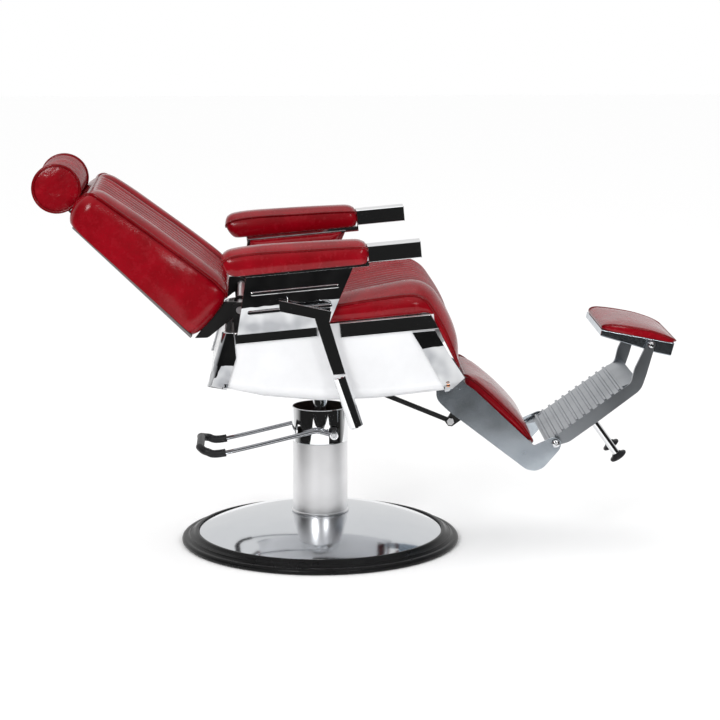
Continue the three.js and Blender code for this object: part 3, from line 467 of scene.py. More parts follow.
def pill(fromX, toX, z, half, steps=8):
    # the outline of a bar with round ends
    points = []
    for centre, start in ((toX - half, -90), (fromX + half, 90)):
        for i in range(steps + 1):
            angle = math.radians(start + 180 * i / steps)
            points.append((centre + half * math.cos(angle), z + half * math.sin(angle)))
    return points


def finishedCopy(node, name, body, slotName, material, bevel=0.0006, smooth=34, merge=True):
    # a CAD piece with its flat facets joined, its edges broken and its curves smooth
    source = nodes[node]
    piece = bpy.data.objects.new(name, source.data.copy())
    bpy.context.collection.objects.link(piece)
    piece.matrix_world = source.matrix_world
    piece.data.transform(piece.matrix_world)
    piece.matrix_world = Matrix.Identity(4)
    piece.data.materials.clear()
    makeActive(piece)
    bpy.ops.object.mode_set(mode="EDIT")
    bpy.ops.mesh.select_all(action="SELECT")
    bpy.ops.mesh.remove_doubles(threshold=0.00002)
    if merge:
        bpy.ops.mesh.dissolve_limited(angle_limit=math.radians(1.0))
    bpy.ops.object.mode_set(mode="OBJECT")
    if bevel:
        applyModifier(
            piece, "BEVEL", width=bevel, segments=2, limit_method="ANGLE",
            angle_limit=math.radians(35), use_clamp_overlap=True,
        )
    smoothByAngle(piece, smooth)
    applyModifier(piece, "WEIGHTED_NORMAL", keep_sharp=True)
    return ready(piece, body, slotName, material, node)


def finishNode(node, material):
    piece = nodes[node]
    piece.data.materials.clear()
    piece.data.materials.append(material)


# padding
def roundedSpot(across, along, halfWidth, length, corner):
    # a square grid's point moved into a rectangle with round corners: across -1..1, along 0..1
    half = length / 2
    x = across * halfWidth
    y = (along * 2 - 1) * half
    dx = (abs(x) - (halfWidth - corner)) / corner
    dy = (abs(y) - (half - corner)) / corner
    if dx > 0 and dy > 0:
        newX = dx * math.sqrt(1 - dy * dy / 2)
        newY = dy * math.sqrt(1 - dx * dx / 2)
        x = math.copysign(halfWidth - corner + newX * corner, x)
        y = math.copysign(half - corner + newY * corner, y)
    return x, y + half


def pathAt(path, share):
    # point and outward normal on an evenly spaced path in the local xz plane
    spot = min(max(share, 0), 1) * (len(path) - 1)
    i = min(int(spot), len(path) - 2)
    point = path[i].lerp(path[i + 1], spot - i)
    before = path[max(i - 1, 0)]
    after = path[min(i + 2, len(path) - 1)]
    way = (after - before).normalized()
    return point, Vector((-way.y, way.x))


def ease(value):
    value = min(max(value, 0), 1)
    return value * value * (3 - 2 * value)


def puffUp(piece, pressure, reach):
    # air pressure fills the leather between its seams; no point moves further than the reach
    values = piece.data.attributes["held"]
    fixed = [i for i, value in enumerate(values.data) if value.value > 0.5]
    piece.data.attributes.remove(values)
    makeActive(piece)
    piece.vertex_groups.new(name="held").add(fixed, 1.0, "REPLACE")
    modifier = piece.modifiers.new("cloth", "CLOTH")
    cloth = modifier.settings
    cloth.quality = 4
    cloth.mass = 0.3
    cloth.tension_stiffness = cloth.compression_stiffness = 40
    cloth.shear_stiffness = 10
    cloth.bending_stiffness = 0.8
    cloth.use_pressure = True
    cloth.uniform_pressure_force = pressure
    cloth.vertex_group_mass = "held"
    cloth.effector_weights.gravity = 0
    modifier.point_cache.frame_start = 1
    modifier.point_cache.frame_end = 10
    for number in range(1, 11):
        bpy.context.scene.frame_set(number)
    shaped = piece.evaluated_get(bpy.context.evaluated_depsgraph_get()).data
    moves = [new.co - old.co for old, new in zip(piece.data.vertices, shaped.vertices)]
    piece.modifiers.remove(modifier)
    piece.vertex_groups.clear()
    furthest = 0  # in metres, before the reach holds it
    for vertex, move in zip(piece.data.vertices, moves):
        furthest = max(furthest, move.length)
        vertex.co += move * (min(1, reach / move.length) if move.length > 0 else 0)
    bpy.context.scene.frame_set(1)
    print(f"{piece.name} swelled by up to {furthest * 1000:.1f} mm")


def makePad(name, settings, place):
    # a closed pad: a crowned face, a boxing that bulges between its seams, and a flat base
    facePath = smoothPath(settings["face"], 240)
    basePath = smoothPath(settings["base"], 240)
    halfWidth = settings["halfWidth"]
    baseHalf = settings.get("baseHalfWidth", halfWidth)
    corner = settings["corner"]
    faceLength = sum((b - a).length for a, b in zip(facePath, facePath[1:]))
    baseLength = sum((b - a).length for a, b in zip(basePath, basePath[1:]))
    countAcross = settings.get("across", 80)
    countAlong = settings.get("along", 60)
    border = settings.get("border", 0.02)
    crown = settings["crown"]
    channels = settings.get("channels")
    random.seed(settings.get("seed", 1))
    offset = Vector((random.uniform(0, 9), random.uniform(0, 9), random.uniform(0, 9)))
    taper = settings.get("taper", lambda share: 1.0)

    def channelSpots():
        # rows of grid lines across the face: closer in the channels
        if not channels:
            return [i / countAcross * 2 - 1 for i in range(countAcross + 1)]
        spots = []
        count, pitch = channels["count"], channels["pitch"]
        edge = count * pitch / 2
        for i in range(13):
            spots.append(-halfWidth + (halfWidth - edge) * i / 13)
        for c in range(count):
            for share in (0, 0.035, 0.09, 0.2, 0.35, 0.5, 0.65, 0.8, 0.91, 0.965):
                spots.append(-edge + (c + share) * pitch)
        spots.append(edge)
        for i in range(1, 14):
            spots.append(edge + (halfWidth - edge) * i / 13)
        return [s / halfWidth for s in spots]

    def groove(y, distanceAlong):
        if not channels:
            return 0
        count, pitch, depth = channels["count"], channels["pitch"], channels["depth"]
        edge = count * pitch / 2
        inset = channels.get("inset", (0.02, 0.02))
        fade = ease((distanceAlong - inset[0]) / 0.012) * ease((faceLength - inset[1] - distanceAlong) / 0.012)
        if abs(y) > edge + pitch * 0.5:
            return 0
        nearest = min(max(round((y + edge) / pitch), 0), count) * pitch - edge
        away = abs(y - nearest) / pitch
        rise = 1 - min(1, away * 2) ** 0.5
        if abs(y) > edge:
            rise = rise * ease(1 - (abs(y) - edge) / (pitch * 0.5))
        return depth * rise * fade

    acrossSpots = channelSpots()
    alongSpots = [i / countAlong for i in range(countAlong + 1)]
    endFine = [0, 0.002, 0.006, 0.012]
    alongSpots = endFine + [s for s in alongSpots if 0.014 < s < 0.986] + [1 - s for s in reversed(endFine)]
    points = []
    faces = []
    seamShades = []
    held = []

    def addGrid(path, length, width, isFace):
        grid = []
        for along in alongSpots:
            row = []
            for across in acrossSpots:
                wide = width * taper(along)
                y, distance = roundedSpot(across, along, wide, length, corner)
                spot, normal = pathAt(path, distance / length)
                lift = 0
                dark = 0
                if isFace:
                    edgeY = max(0, wide - abs(y))
                    edgeX = max(0, min(distance, length - distance))
                    near = min(edgeY, edgeX)
                    rise = 1 - (1 - min(1, edgeY / border)) ** 2.2
                    riseX = 1 - (1 - min(1, edgeX / border)) ** 2.2
                    lift = crown(y / wide, distance / length) * rise * riseX
                    sunk = groove(y, distance)
                    lift -= sunk
                    # painted shade: the channel grooves and the face's rim by the piping are marked dark for the
                    # shade that falls in them
                    if channels:
                        dark = min(1, max(0, (sunk / channels["depth"] - 0.38) / 0.4))
                    if near < 0.0012:
                        dark = 0.85
                    wave = noise.noise(Vector((distance * 9, y * 9, 0)) + offset) * settings.get("wave", 0.0012)
                    lift += wave * min(1, near / 0.02)
                lifted = spot + normal * lift
                row.append(len(points))
                points.append(Vector((lifted.x, y, lifted.y)))
                seamShades.append(dark)
                held.append(1 if not isFace or dark > 0.8 else 0)
            grid.append(row)
        return grid

    def gridFaces(grid, flip):
        for lower, upper in zip(grid, grid[1:]):
            for i in range(len(lower) - 1):
                quad = (lower[i], lower[i + 1], upper[i + 1], upper[i])
                faces.append(tuple(reversed(quad)) if flip else quad)

    def ringOf(grid):
        ring = list(grid[0])
        ring += [row[-1] for row in grid[1:]]
        ring += list(reversed(grid[-1][:-1]))
        ring += [row[0] for row in reversed(grid[1:-1])]
        return ring

    face = addGrid(facePath, faceLength, halfWidth, True)
    base = addGrid(basePath, baseLength, baseHalf, False)
    gridFaces(face, False)
    gridFaces(base, True)
    faceRing = ringOf(face)
    baseRing = ringOf(base)
    middle = sum((points[i] for i in faceRing + baseRing), Vector()) / (2 * len(faceRing))
    bulge = settings.get("bulge", 0.008)
    rings = [faceRing]
    steps = settings.get("boxingSteps", 12)
    proud = [Vector()] * len(faceRing)
    for k in range(1, steps):
        t = k / steps
        ring = []
        for order, (top, foot) in enumerate(zip(faceRing, baseRing)):
            a, b = points[top], points[foot]
            spot = a.lerp(b, t)
            before = points[faceRing[order - 1]]
            after = points[faceRing[(order + 1) % len(faceRing)]]
            out = (after - before).cross(b - a)
            if out.length > 1e-9:
                out.normalize()
            if out.dot(spot - middle) < 0:
                out = -out
            height = (b - a).length
            swell = bulge * min(1, height / 0.05) * math.sin(math.pi * t) ** 0.75
            ripple = noise.noise(spot * 11 + offset) * settings.get("ripple", 0.0018) * math.sin(math.pi * t)
            if k == 1:
                proud[order] = out
            ring.append(len(points))
            points.append(spot + out * (swell + ripple))
            seamShades.append(0)
            held.append(0)
        rings.append(ring)
    rings.append(baseRing)
    total = len(faceRing)
    for upper, lower in zip(rings, rings[1:]):
        for i in range(total):
            j = (i + 1) % total
            faces.append((upper[i], lower[i], lower[j], upper[j]))
    lead = settings.get("pipingLead", 0.0014)
    ringPoints = [points[i] + out * lead for i, out in zip(faceRing, proud)]
    piece = meshPiece(name, points, faces, place, seamShades, held)
    outwards(piece)
    puffUp(piece, settings.get("pressure", 4), settings.get("reach", 0.005))
    smoothByAngle(piece, settings.get("smooth", 60))
    return piece, ringPoints


def makePiping(name, ringPoints, radius, place, body):
    even = smoothPath(thinned(ringPoints, 0.006), 360, closed=True)
    cord = tubePiece(name, even, radius, place, closed=True, sidesRound=10)
    return ready(cord, body, "red_leather", pipingLeather)


def thinned(ringPoints, spacing):
    kept = [ringPoints[0]]
    for point in ringPoints[1:]:
        if (point - kept[-1]).length >= spacing and (point - ringPoints[0]).length >= spacing * 0.7:
            kept.append(point)
    return kept


def makeCushion(name, pipingName, settings, place, body, node):
    pad, ring = makePad(name, settings, place)
    ready(pad, body, "red_leather", redLeather, node)
    makePiping(pipingName, ring, settings["pipingRadius"], place, body)


# seat cushion: eleven sewn channels run forward and over the front edge
seatPad = {
    "face": [(-0.144, 0.148), (-0.06, 0.150), (0.05, 0.155), (0.139, 0.160), (0.216, 0.161), (0.245, 0.148),
             (0.262, 0.122), (0.281, 0.082), (0.294, 0.044), (0.303, 0.010), (0.308, -0.016)],
    "base": [(-0.144, 0.117), (-0.06, 0.1165), (0.05, 0.1165), (0.139, 0.1165), (0.216, 0.1165), (0.252, 0.1165),
             (0.266, 0.090), (0.279, 0.055), (0.292, 0.022), (0.300, 0.002), (0.307, -0.018)],
    "halfWidth": 0.256,
    "corner": 0.022,
    "border": 0.075,
    "crown": lambda y, u: 0.012 + 0.012 * ease((u - 0.2) / 0.5) * (1 - 0.5 * ease((u - 0.8) / 0.2)),
    "channels": {"count": 10, "pitch": 0.033, "depth": 0.0105, "inset": (0.02, 0.022)},
    "along": 110,
    "bulge": 0.014,
    "wave": 0.002,
    "ripple": 0.003,
    "pipingRadius": 0.0036,
    "fill": 0.7,
    "seed": 3,
}


makeCushion("seatCushion", "seatPiping", seatPad, seatFrame, "seat", "seat_cushion")

# back cushion: nine sewn channels up its front
backPad = {
    "face": [(0.008, 0.428), (0.014, 0.424), (0.021, 0.412), (0.0225, 0.36), (0.023, 0.30), (0.023, 0.20),
             (0.0228, 0.12), (0.021, 0.078), (0.014, 0.054), (0.004, 0.043)],
    "base": [(-0.0625, 0.426), (-0.064, 0.422), (-0.066, 0.410), (-0.073, 0.36), (-0.080, 0.30), (-0.092, 0.20),
             (-0.101, 0.12), (-0.106, 0.078), (-0.108, 0.058), (-0.110, 0.0505)],
    "halfWidth": 0.213,
    "corner": 0.030,
    "border": 0.045,
    "crown": lambda y, u: 0.003 + 0.009 * ease((abs(y) - 0.5) / 0.25) + 0.003 * math.sin(math.pi * u),
    "channels": {"count": 8, "pitch": 0.035, "depth": 0.0080, "inset": (0.012, 0.008)},
    "along": 90,
    "bulge": 0.013,
    "wave": 0.0016,
    "ripple": 0.005,
    "pipingRadius": 0.0038,
    "fill": 0.75,
    "seed": 8,
}


makeCushion("backCushion", "backPiping", backPad, backFrame, "back", "back_cushion")

# arm pads
armPad = {
    "middle": 0.320,
    "halfWidth": 0.0365,
    "face": [(-0.196, 0.284), (-0.192, 0.293), (-0.176, 0.300), (-0.120, 0.3030), (-0.03, 0.3000), (0.06, 0.2970),
             (0.108, 0.294), (0.118, 0.290), (0.1215, 0.284)],
    "base": [(-0.180, 0.2565), (-0.176, 0.2562), (-0.162, 0.256), (-0.115, 0.256), (-0.03, 0.256), (0.06, 0.256),
             (0.105, 0.256), (0.115, 0.2562), (0.1195, 0.2565)],
}


def makeArmPad(word, side):
    settings = {
        "face": armPad["face"],
        "base": armPad["base"],
        "halfWidth": armPad["halfWidth"],
        "baseHalfWidth": armPad["halfWidth"] - 0.002,
        "corner": 0.018,
        "border": 0.030,
        "crown": lambda y, u: 0.013,
        "across": 26,
        "along": 60,
        "bulge": 0.008,
        "wave": 0.0015,
        "ripple": 0.0030,
        "seed": 21 + side,
    }
    place = seatFrame @ Matrix.Translation((0, side * armPad["middle"], 0))
    pad, ring = makePad(f"armPad_{word}", settings, place)
    ready(pad, "seat", "red_leather", redLeather, f"arm_pad_{word}")
    makePiping(f"armPiping_{word}", ring, 0.0028, place, "seat")


for word, side in sides:
    makeArmPad(word, side)

# liners inside the arm panels, with one sewn fold along their middle
armLiner = {
    "outline": [(-0.170, 0.122), (0.014, 0.122), (0.084, 0.247), (-0.141, 0.247)],
    "inner": 0.2640,
    "outer": 0.2822,
}


def makeArmLiner(word, side):
    settings = armLiner
    corners = [Vector(p) for p in settings["outline"]]
    points = []
    faces = []
    count = 36
    for layer in range(2):
        for i in range(count + 1):
            for j in range(count + 1):
                u, v = i / count, j / count
                low = corners[0].lerp(corners[1], u)
                high = corners[3].lerp(corners[2], u)
                spot = low.lerp(high, v)
                edge = min(u, 1 - u, v, 1 - v)
                swell = 1 - (1 - min(1, edge / 0.12)) ** 2.5
                fold = 0.003 * math.exp(-(((v - 0.5) / 0.02) ** 2)) * min(1, edge / 0.05)
                depth = (settings["outer"] - settings["inner"]) * swell - fold
                y = settings["outer"] if layer else settings["outer"] - 0.0015 - depth * 0.92
                points.append(Vector((spot.x, side * y, spot.y)))
    size = count + 1

    def at(layer, i, j):
        return layer * size * size + i * size + j

    for layer in range(2):
        for i in range(count):
            for j in range(count):
                faces.append((at(layer, i, j), at(layer, i + 1, j), at(layer, i + 1, j + 1), at(layer, i, j + 1)))
    rim = [(i, 0) for i in range(count)] + [(count, j) for j in range(count)]
    rim += [(count - i, count) for i in range(count)] + [(0, count - j) for j in range(count)]
    for k, (i, j) in enumerate(rim):
        i2, j2 = rim[(k + 1) % len(rim)]
        faces.append((at(0, i, j), at(0, i2, j2), at(1, i2, j2), at(1, i, j)))
    pad = meshPiece(f"armLiner_{word}", points, faces, seatFrame)
    outwards(pad)
    smoothByAngle(pad, 50)
    ready(pad, "seat", "red_leather", redLeather, f"arm_liner_{word}")


for word, side in sides:
    makeArmLiner(word, side)

# calf pad
calfPad = {
    "face": [(0.040, 0.030), (0.046, 0.034), (0.070, 0.0375), (0.12, 0.038), (0.17, 0.036), (0.207, 0.033),
             (0.240, 0.026), (0.257, 0.021), (0.262, 0.018)],
    "base": [(0.048, 0.018), (0.054, 0.0172), (0.075, 0.017), (0.12, 0.017), (0.17, 0.017), (0.205, 0.017),
             (0.237, 0.017), (0.253, 0.0165), (0.259, 0.016)],
    "halfWidth": 0.139,
    "corner": 0.020,
    "border": 0.05,
    "crown": lambda y, u: 0.011,
    "across": 60,
    "along": 60,
    "bulge": 0.004,
    "wave": 0.002,
    "pipingRadius": 0.0036,
    "fill": 0.7,
    "seed": 5,
}


makeCushion("calfPad", "calfPiping", calfPad, legFrame, "legrest", "calf_cushion")

# flip pad
flipPad = {
    "face": [(-0.118, 0.017), (-0.113, 0.022), (-0.098, 0.027), (-0.060, 0.030), (-0.01, 0.030), (0.030, 0.025),
             (0.052, 0.019), (0.060, 0.0155)],
    "base": [(-0.117, 0.0125), (-0.112, 0.0125), (-0.098, 0.0125), (-0.060, 0.0125), (-0.01, 0.0125), (0.030, 0.0125),
             (0.050, 0.0125), (0.058, 0.0125)],
    "halfWidth": 0.127,
    "corner": 0.022,
    "border": 0.045,
    "crown": lambda y, u: 0.0045,
    "across": 60,
    "along": 50,
    "bulge": 0.003,
    "wave": 0.0014,
    "pipingLead": -0.0006,
    "pipingRadius": 0.0026,
    "fill": 0.7,
    "seed": 6,
}


makeCushion("flipPad", "flipPiping", flipPad, flipFrame, "flip_pad", "flip_cushion")
print("pads made")

# headrest bolster
bolster = {"radius": 0.0548, "half": 0.125, "x": -0.030, "z": 0.493, "piping": 0.0036,
           "pitch": 0.026, "count": 8, "depth": 0.0050}


def sewn(along):
    # 1 in the roll's sewn channels, falling to 0 half way between them
    pitch, count = bolster["pitch"], bolster["count"]
    edge = count * pitch / 2
    nearest = min(max(round((along + edge) / pitch), 0), count) * pitch - edge
    return 1 - min(1, abs(along - nearest) / pitch * 2) ** 0.5


def makeBolster(settings):
    radius, half = settings["radius"], settings["half"]
    profile = [(0, -half + 0.001)]
    for i in range(1, 12):  # a slightly domed end inside its piping
        r = radius * 0.965 * i / 11
        profile.append((r, -half + 0.0012 + 0.0035 * (i / 11) ** 3 - 0.0012 * math.sin(math.pi * i / 11)))
    for i in range(1, 180):
        t = i / 180
        along = -half + 0.004 + (2 * half - 0.008) * t
        swell = 1 - 0.025 * (abs(2 * t - 1) ** 6)
        profile.append((radius * swell - settings["depth"] * sewn(along), along))
    for i in range(11, 0, -1):
        r = radius * 0.965 * i / 11
        profile.append((r, half - 0.0012 - 0.0035 * (i / 11) ** 3 + 0.0012 * math.sin(math.pi * i / 11)))
    profile.append((0, half - 0.001))
    place = backFrame @ Matrix.Translation((settings["x"], 0, settings["z"])) @ Matrix.Rotation(math.pi / 2, 4, "X")
    roll = turnedPiece("headrestBolster", profile, place, 96, 60)
    for vertex in roll.data.vertices:
        vertex.co += vertex.normal * (noise.noise(vertex.co * 16) * 0.0014)
    # painted shade: the roll's sewn channels are marked dark for the shade that falls in them
    values = roll.data.attributes.new("seamShade", "FLOAT", "POINT")
    for vertex, value in zip(roll.data.vertices, values.data):
        out = (vertex.co - place.translation)
        if math.hypot(out.x, out.z) > radius * 0.8 and abs(vertex.co.y) < half - 0.003:
            value.value = min(1, max(0, (sewn(vertex.co.y) - 0.45) / 0.4))
    ready(roll, "headrest", "red_leather", crinkledLeather, "headrest_bolster")
    for word, side in sides:
        ring = []
        for i in range(96):
            angle = 2 * math.pi * i / 96
            ring.append(Vector((math.cos(angle) * (radius - 0.0012), math.sin(angle) * (radius - 0.0012),
                                side * (half - 0.004))))
        makePiping(f"bolsterPiping_{word}", ring, settings["piping"], place, "headrest")
    return place


makeBolster(bolster)
print("headrest made")

# base, column and rod
baseParts = {"discRadius": 0.294, "columnRadius": 0.065, "rise": 0.048, "rim": 0.0235, "sheet": 0.0034}


def discHeight(radius):
    share = max(0, (radius - baseParts["columnRadius"]) / (baseParts["discRadius"] - baseParts["columnRadius"]))
    return baseParts["rim"] + baseParts["rise"] * (1 - share ** 2.1)


def makeBase():
    inner = baseParts["columnRadius"] - 0.008
    outer = baseParts["discRadius"]
    radii = [inner + (outer - inner) * i / 40 for i in range(41)]
    top = [(r, discHeight(r)) for r in radii]
    under = [(r, discHeight(r) - baseParts["sheet"]) for r in reversed(radii)]
    disc = turnedPiece("baseDisc", top + under + [top[0]], floorFrame, 160, 40)
    ready(disc, "base", "chrome", discChrome, "base_disc")
    section = [
        (0.288, 0.0002), (0.3252, 0.0002), (0.330, 0.004), (0.330, 0.0100), (0.3255, 0.0145), (0.3195, 0.0150),
        (0.3180, 0.0142), (0.3165, 0.0150), (0.3130, 0.0172), (0.3110, 0.0205), (0.3095, 0.0196), (0.3080, 0.0206),
        (0.3030, 0.0228), (0.2995, 0.0262), (0.2965, 0.0290), (0.2915, 0.0288), (0.2900, 0.0282), (0.2902, 0.0252),
        (0.2945, 0.0242), (0.2945, 0.0194), (0.288, 0.0194),
    ]
    rounded = softCorners(section, 0.0022, 3)
    rubber = turnedPiece("baseRubberRing", rounded + [rounded[0]], floorFrame, 160, 40)
    ready(rubber, "base", "black_rubber", blackRubber, "base_rubber_ring")


# each slot runs from one x to another and from one height to another, and is cut in both sides of the cap
column = {
    "foot": 0.0719, "head": 0.2439, "capHeight": 0.0824,
    "slots": [(0.0195, 0.0430, 0.2459, 0.2905), (-0.0590, -0.0440, 0.2669, 0.2889)],
    "rodRadius": 0.0165, "rodFoot": 0.062, "rodTop": 0.383,
}


def makeColumn(settings):
    foot, head = settings["foot"], settings["head"]
    cover = [(0.063, foot), (0.0668, foot), (0.0676, foot + 0.0012), (0.0676, foot + 0.0038), (0.0664, foot + 0.0052),
             (0.065, foot + 0.0060), (0.065, head - 0.0008), (0.0643, head), (0.063, head), (0.063, foot)]
    sleeve = turnedPiece("columnCover", cover, floorFrame, 128, 30)
    ready(sleeve, "base", "satin_steel", satinColumn, "column_cover")
    capFoot, capTop = head + 0.0004, head + settings["capHeight"]
    cap = [(0.0645, capFoot), (0.0658, capFoot), (0.0665, capFoot + 0.0012), (0.0665, capTop - 0.0012),
           (0.0658, capTop), (0.0645, capTop), (0.0645, capFoot)]
    collar = turnedPiece("columnCap", cap, floorFrame, 128, 30)
    cutSlots(collar, settings["slots"])
    smoothByAngle(collar, 30)
    ready(collar, "base", "chrome", chromePlate, "column_cap")
    lining = [(0.0640, capFoot), (0.0644, capFoot), (0.0644, capTop - 0.001), (0.0640, capTop - 0.001),
              (0.0640, capFoot)]
    inside = turnedPiece("capLining", lining, floorFrame, 96, 30)
    cutSlots(inside, settings["slots"])
    ready(inside, "base", "cast_iron", brownOil)
    radius, low, top = settings["rodRadius"], settings["rodFoot"], settings["rodTop"]
    rod = [(0, low), (radius, low), (radius, top - 0.016), (radius - 0.004, top), (0, top)]
    piston = turnedPiece("pistonRod", rod, floorFrame, 96, 30)
    ready(piston, "lift", "chrome", chromePlate, "piston_rod")


def cutSlots(target, slots):
    for side in (1, -1):
        for fromX, toX, low, high in slots:
            cutSlot(target, fromX, toX, side, low, high)


def cutSlot(target, fromX, toX, side, low, high):
    # an upright slot with a round head
    middle = (fromX + toX) / 2
    half = (toX - fromX) / 2
    reach, depth = 0.060, 0.05
    deselectAll()
    bpy.ops.mesh.primitive_cube_add(size=1, location=(middle, side * reach, (low + high - half) / 2))
    cutter = bpy.context.object
    cutter.scale = (2 * half, depth, high - half - low)
    bpy.ops.object.transform_apply(location=True, rotation=False, scale=True)
    applyModifier(target, "BOOLEAN", operation="DIFFERENCE", object=cutter, solver="EXACT")
    bpy.data.objects.remove(cutter, do_unlink=True)
    deselectAll()
    bpy.ops.mesh.primitive_cylinder_add(
        radius=half, depth=depth, vertices=48, location=(middle, side * reach, high - half),
        rotation=(math.pi / 2, 0, 0),
    )
    cutter = bpy.context.object
    applyModifier(target, "BOOLEAN", operation="DIFFERENCE", object=cutter, solver="EXACT")
    bpy.data.objects.remove(cutter, do_unlink=True)


makeBase()
makeColumn(column)
print("base and column made")

# pedal
pedalBar = {
    "side": [(0.0, 0.0), (-0.034, 0.009), (-0.049, 0.009), (-0.092, -0.001), (-0.258, -0.039), (-0.298, -0.036)],
    "end": (-0.314, -0.030), "half": 0.079, "corner": 0.020, "radius": 0.005, "grip": 0.0092, "points": 260,
    "gripShare": (0.33, 0.67),
}


def makePedal(settings):
    half = settings["half"]
    endX, endZ = settings["end"]
    near = [Vector((x, -half, z)) for x, z in settings["side"]]
    far = [Vector((x, half, z)) for x, z in reversed(settings["side"])]
    straight = half - settings["corner"]
    bend = [Vector((endX, y, endZ)) for y in (-straight, 0.012 - straight, 0, straight - 0.012, straight)]
    path = smoothPath(near + bend + far, settings["points"])
    bar = tubePiece("pedalBar", path, settings["radius"], pedalFrame, sidesRound=24)
    ready(bar, "pedal", "chrome", rodChrome)
    first, last = (round(settings["points"] * share) for share in settings["gripShare"])
    gripPath = path[first:last]
    grip = tubePiece("pedalGrip", gripPath, settings["grip"], pedalFrame, sidesRound=24)
    ready(grip, "pedal", "black_rubber", dullRubber, "pedal_grip")
    for word, side in sides:
        boss = [(0.0046, -0.005), (0.0092, -0.005), (0.0096, -0.0044), (0.0096, 0.0044), (0.0092, 0.005),
                (0.0046, 0.005), (0.0046, -0.005)]
        place = pedalFrame @ Matrix.Translation((0, side * half, 0)) @ Matrix.Rotation(-side * math.pi / 2, 4, "X")
        eye = turnedPiece(f"pedalBoss_{word}", boss, place, 48, 30)
        ready(eye, "pedal", "chrome", chromePlate, *(("pedal_lever",) if side > 0 else ()))
        foot = 0.0054
        head = [(0, foot), (0.0066, foot), (0.0071, foot + 0.0006), (0.0071, foot + 0.0032), (0.0062, foot + 0.0042),
                (0.0034, foot + 0.0042), (0.0030, foot + 0.0036), (0.0030, foot + 0.0012), (0, foot + 0.0012)]
        bolt = turnedPiece(f"pedalBolt_{word}", head, place, 48, 30)
        ready(bolt, "pedal", "chrome", chromeSoft)


makePedal(pedalBar)

# lever handle, hung from the recline lever's pivot
leverPivot = (-0.066, 0.173)
leverHandle = {"radius": 0.016, "length": 0.122, "lean": -13, "offset": (0.103, -0.1725), "gap": 0.015}


def makeLeverHandle(settings):
    radius, length = settings["radius"], settings["length"]
    tube = [(0, 0), (radius - 0.0015, 0), (radius, -0.0015), (radius, -length + 0.002), (radius - 0.002, -length),
            (radius - 0.0035, -length + 0.0005), (radius - 0.004, -length + 0.003), (radius - 0.004, -length + 0.03),
            (0, -length + 0.03)]
    panelOuter = 0.286
    middle = -(panelOuter + settings["gap"])
    along, up = settings["offset"]
    place = seatFrame @ Matrix.Translation((leverPivot[0] + along, middle, leverPivot[1] + up))
    place = place @ Matrix.Rotation(math.radians(settings["lean"]), 4, "Y")
    handle = turnedPiece("leverHandle", tube, place, 72, 30)
    ready(handle, "recline_lever", "chrome", chromePlate, "lever_handle")


makeLeverHandle(leverHandle)

# foot posts and knobs
footPost = {"x": 0.100, "y": 0.060, "top": 0.0061, "length": 0.132, "radius": 0.0085, "knob": 0.021}


def makeFootPosts(settings):
    top = settings["top"]
    foot = top - settings["length"]
    r = settings["radius"]
    for word, side in sides:
        place = footFrame @ Matrix.Translation((settings["x"], side * settings["y"], 0))
        post = [(0, foot), (r, foot), (r, top - 0.0065), (r + 0.0045, top - 0.006), (r + 0.006, top - 0.005),
                (r + 0.006, top), (0, top)]
        ready(turnedPiece(f"footPost_{word}", post, place, 48, 30), "footrest", "chrome", chromePlate,
              f"foot_post_{word}")
        k = settings["knob"]
        knob = [(0, foot - 0.0004), (r + 0.002, foot - 0.0004), (r + 0.004, foot - 0.003), (k - 0.006, foot - 0.0050),
                (k - 0.0015, foot - 0.0065), (k, foot - 0.0085), (k, foot - 0.0105), (k - 0.001, foot - 0.0125),
                (k - 0.004, foot - 0.014), (0, foot - 0.014)]
        ready(turnedPiece(f"footKnob_{word}", knob, place, 64, 40), "footrest", "black_rubber", dullRubber,
              f"foot_knob_{word}")


makeFootPosts(footPost)
print("pedal, lever handle and foot posts made")

# machined and pressed metal carried over from the frame, with broken edges
finishedCopy("tub_shell", "tubShell", "seat", "white_paint", whitePaint, bevel=0.0, smooth=40, merge=False)
for word, side in sides:
    for end in ("rear", "front"):
        finishedCopy(f"{end}_trim_{word}", f"{end}Trim_{word}", "seat", "chrome", wrappedChrome, bevel=0.0, smooth=40,
                     merge=False)
    finishedCopy(f"rear_strip_{word}", f"rearStrip_{word}", "seat", "chrome", chromePlate)
    finishedCopy(f"front_strip_{word}", f"frontStrip_{word}", "seat", "chrome", chromePlate)
    finishedCopy(f"arm_rail_{word}", f"armRail_{word}", "seat", "chrome", chromePlate, bevel=0.0007)
    finishedCopy(f"back_bracket_{word}", f"backBracket_{word}", "back", "black_steel", blackSteel)
finishedCopy("back_board", "backBoard", "back", "white_paint", greyBoard)
finishedCopy("headrest_strap", "headrestStrap", "headrest", "chrome", chromePlate)
finishedCopy("leg_frame", "legPlates", "legrest", "cast_aluminium", castAluminium, bevel=0.0009)
finishedCopy("leg_link_bracket", "linkBracket", "legrest", "black_steel", blackSteel)
finishedCopy("foot_frame", "footPlate", "footrest", "cast_aluminium", treadAluminium, bevel=0.0008)
finishedCopy("flip_frame", "flipTray", "flip_pad", "cast_aluminium", castAluminium, bevel=0.0008)
finishedCopy("link_bar", "longLink", "link", "black_steel", blackSteel)


# arm panels: pressed plates with two ribs and a fold between them
armPanel = {
    "outline": [(-0.182, 0.1135), (0.022, 0.1135), (0.095, 0.2495), (-0.148, 0.2495)],
    "inner": 0.2830, "outer": 0.2860,
    "ribs": [(-0.143, 0.055, 0.203), (-0.154, 0.036, 0.160)],
}


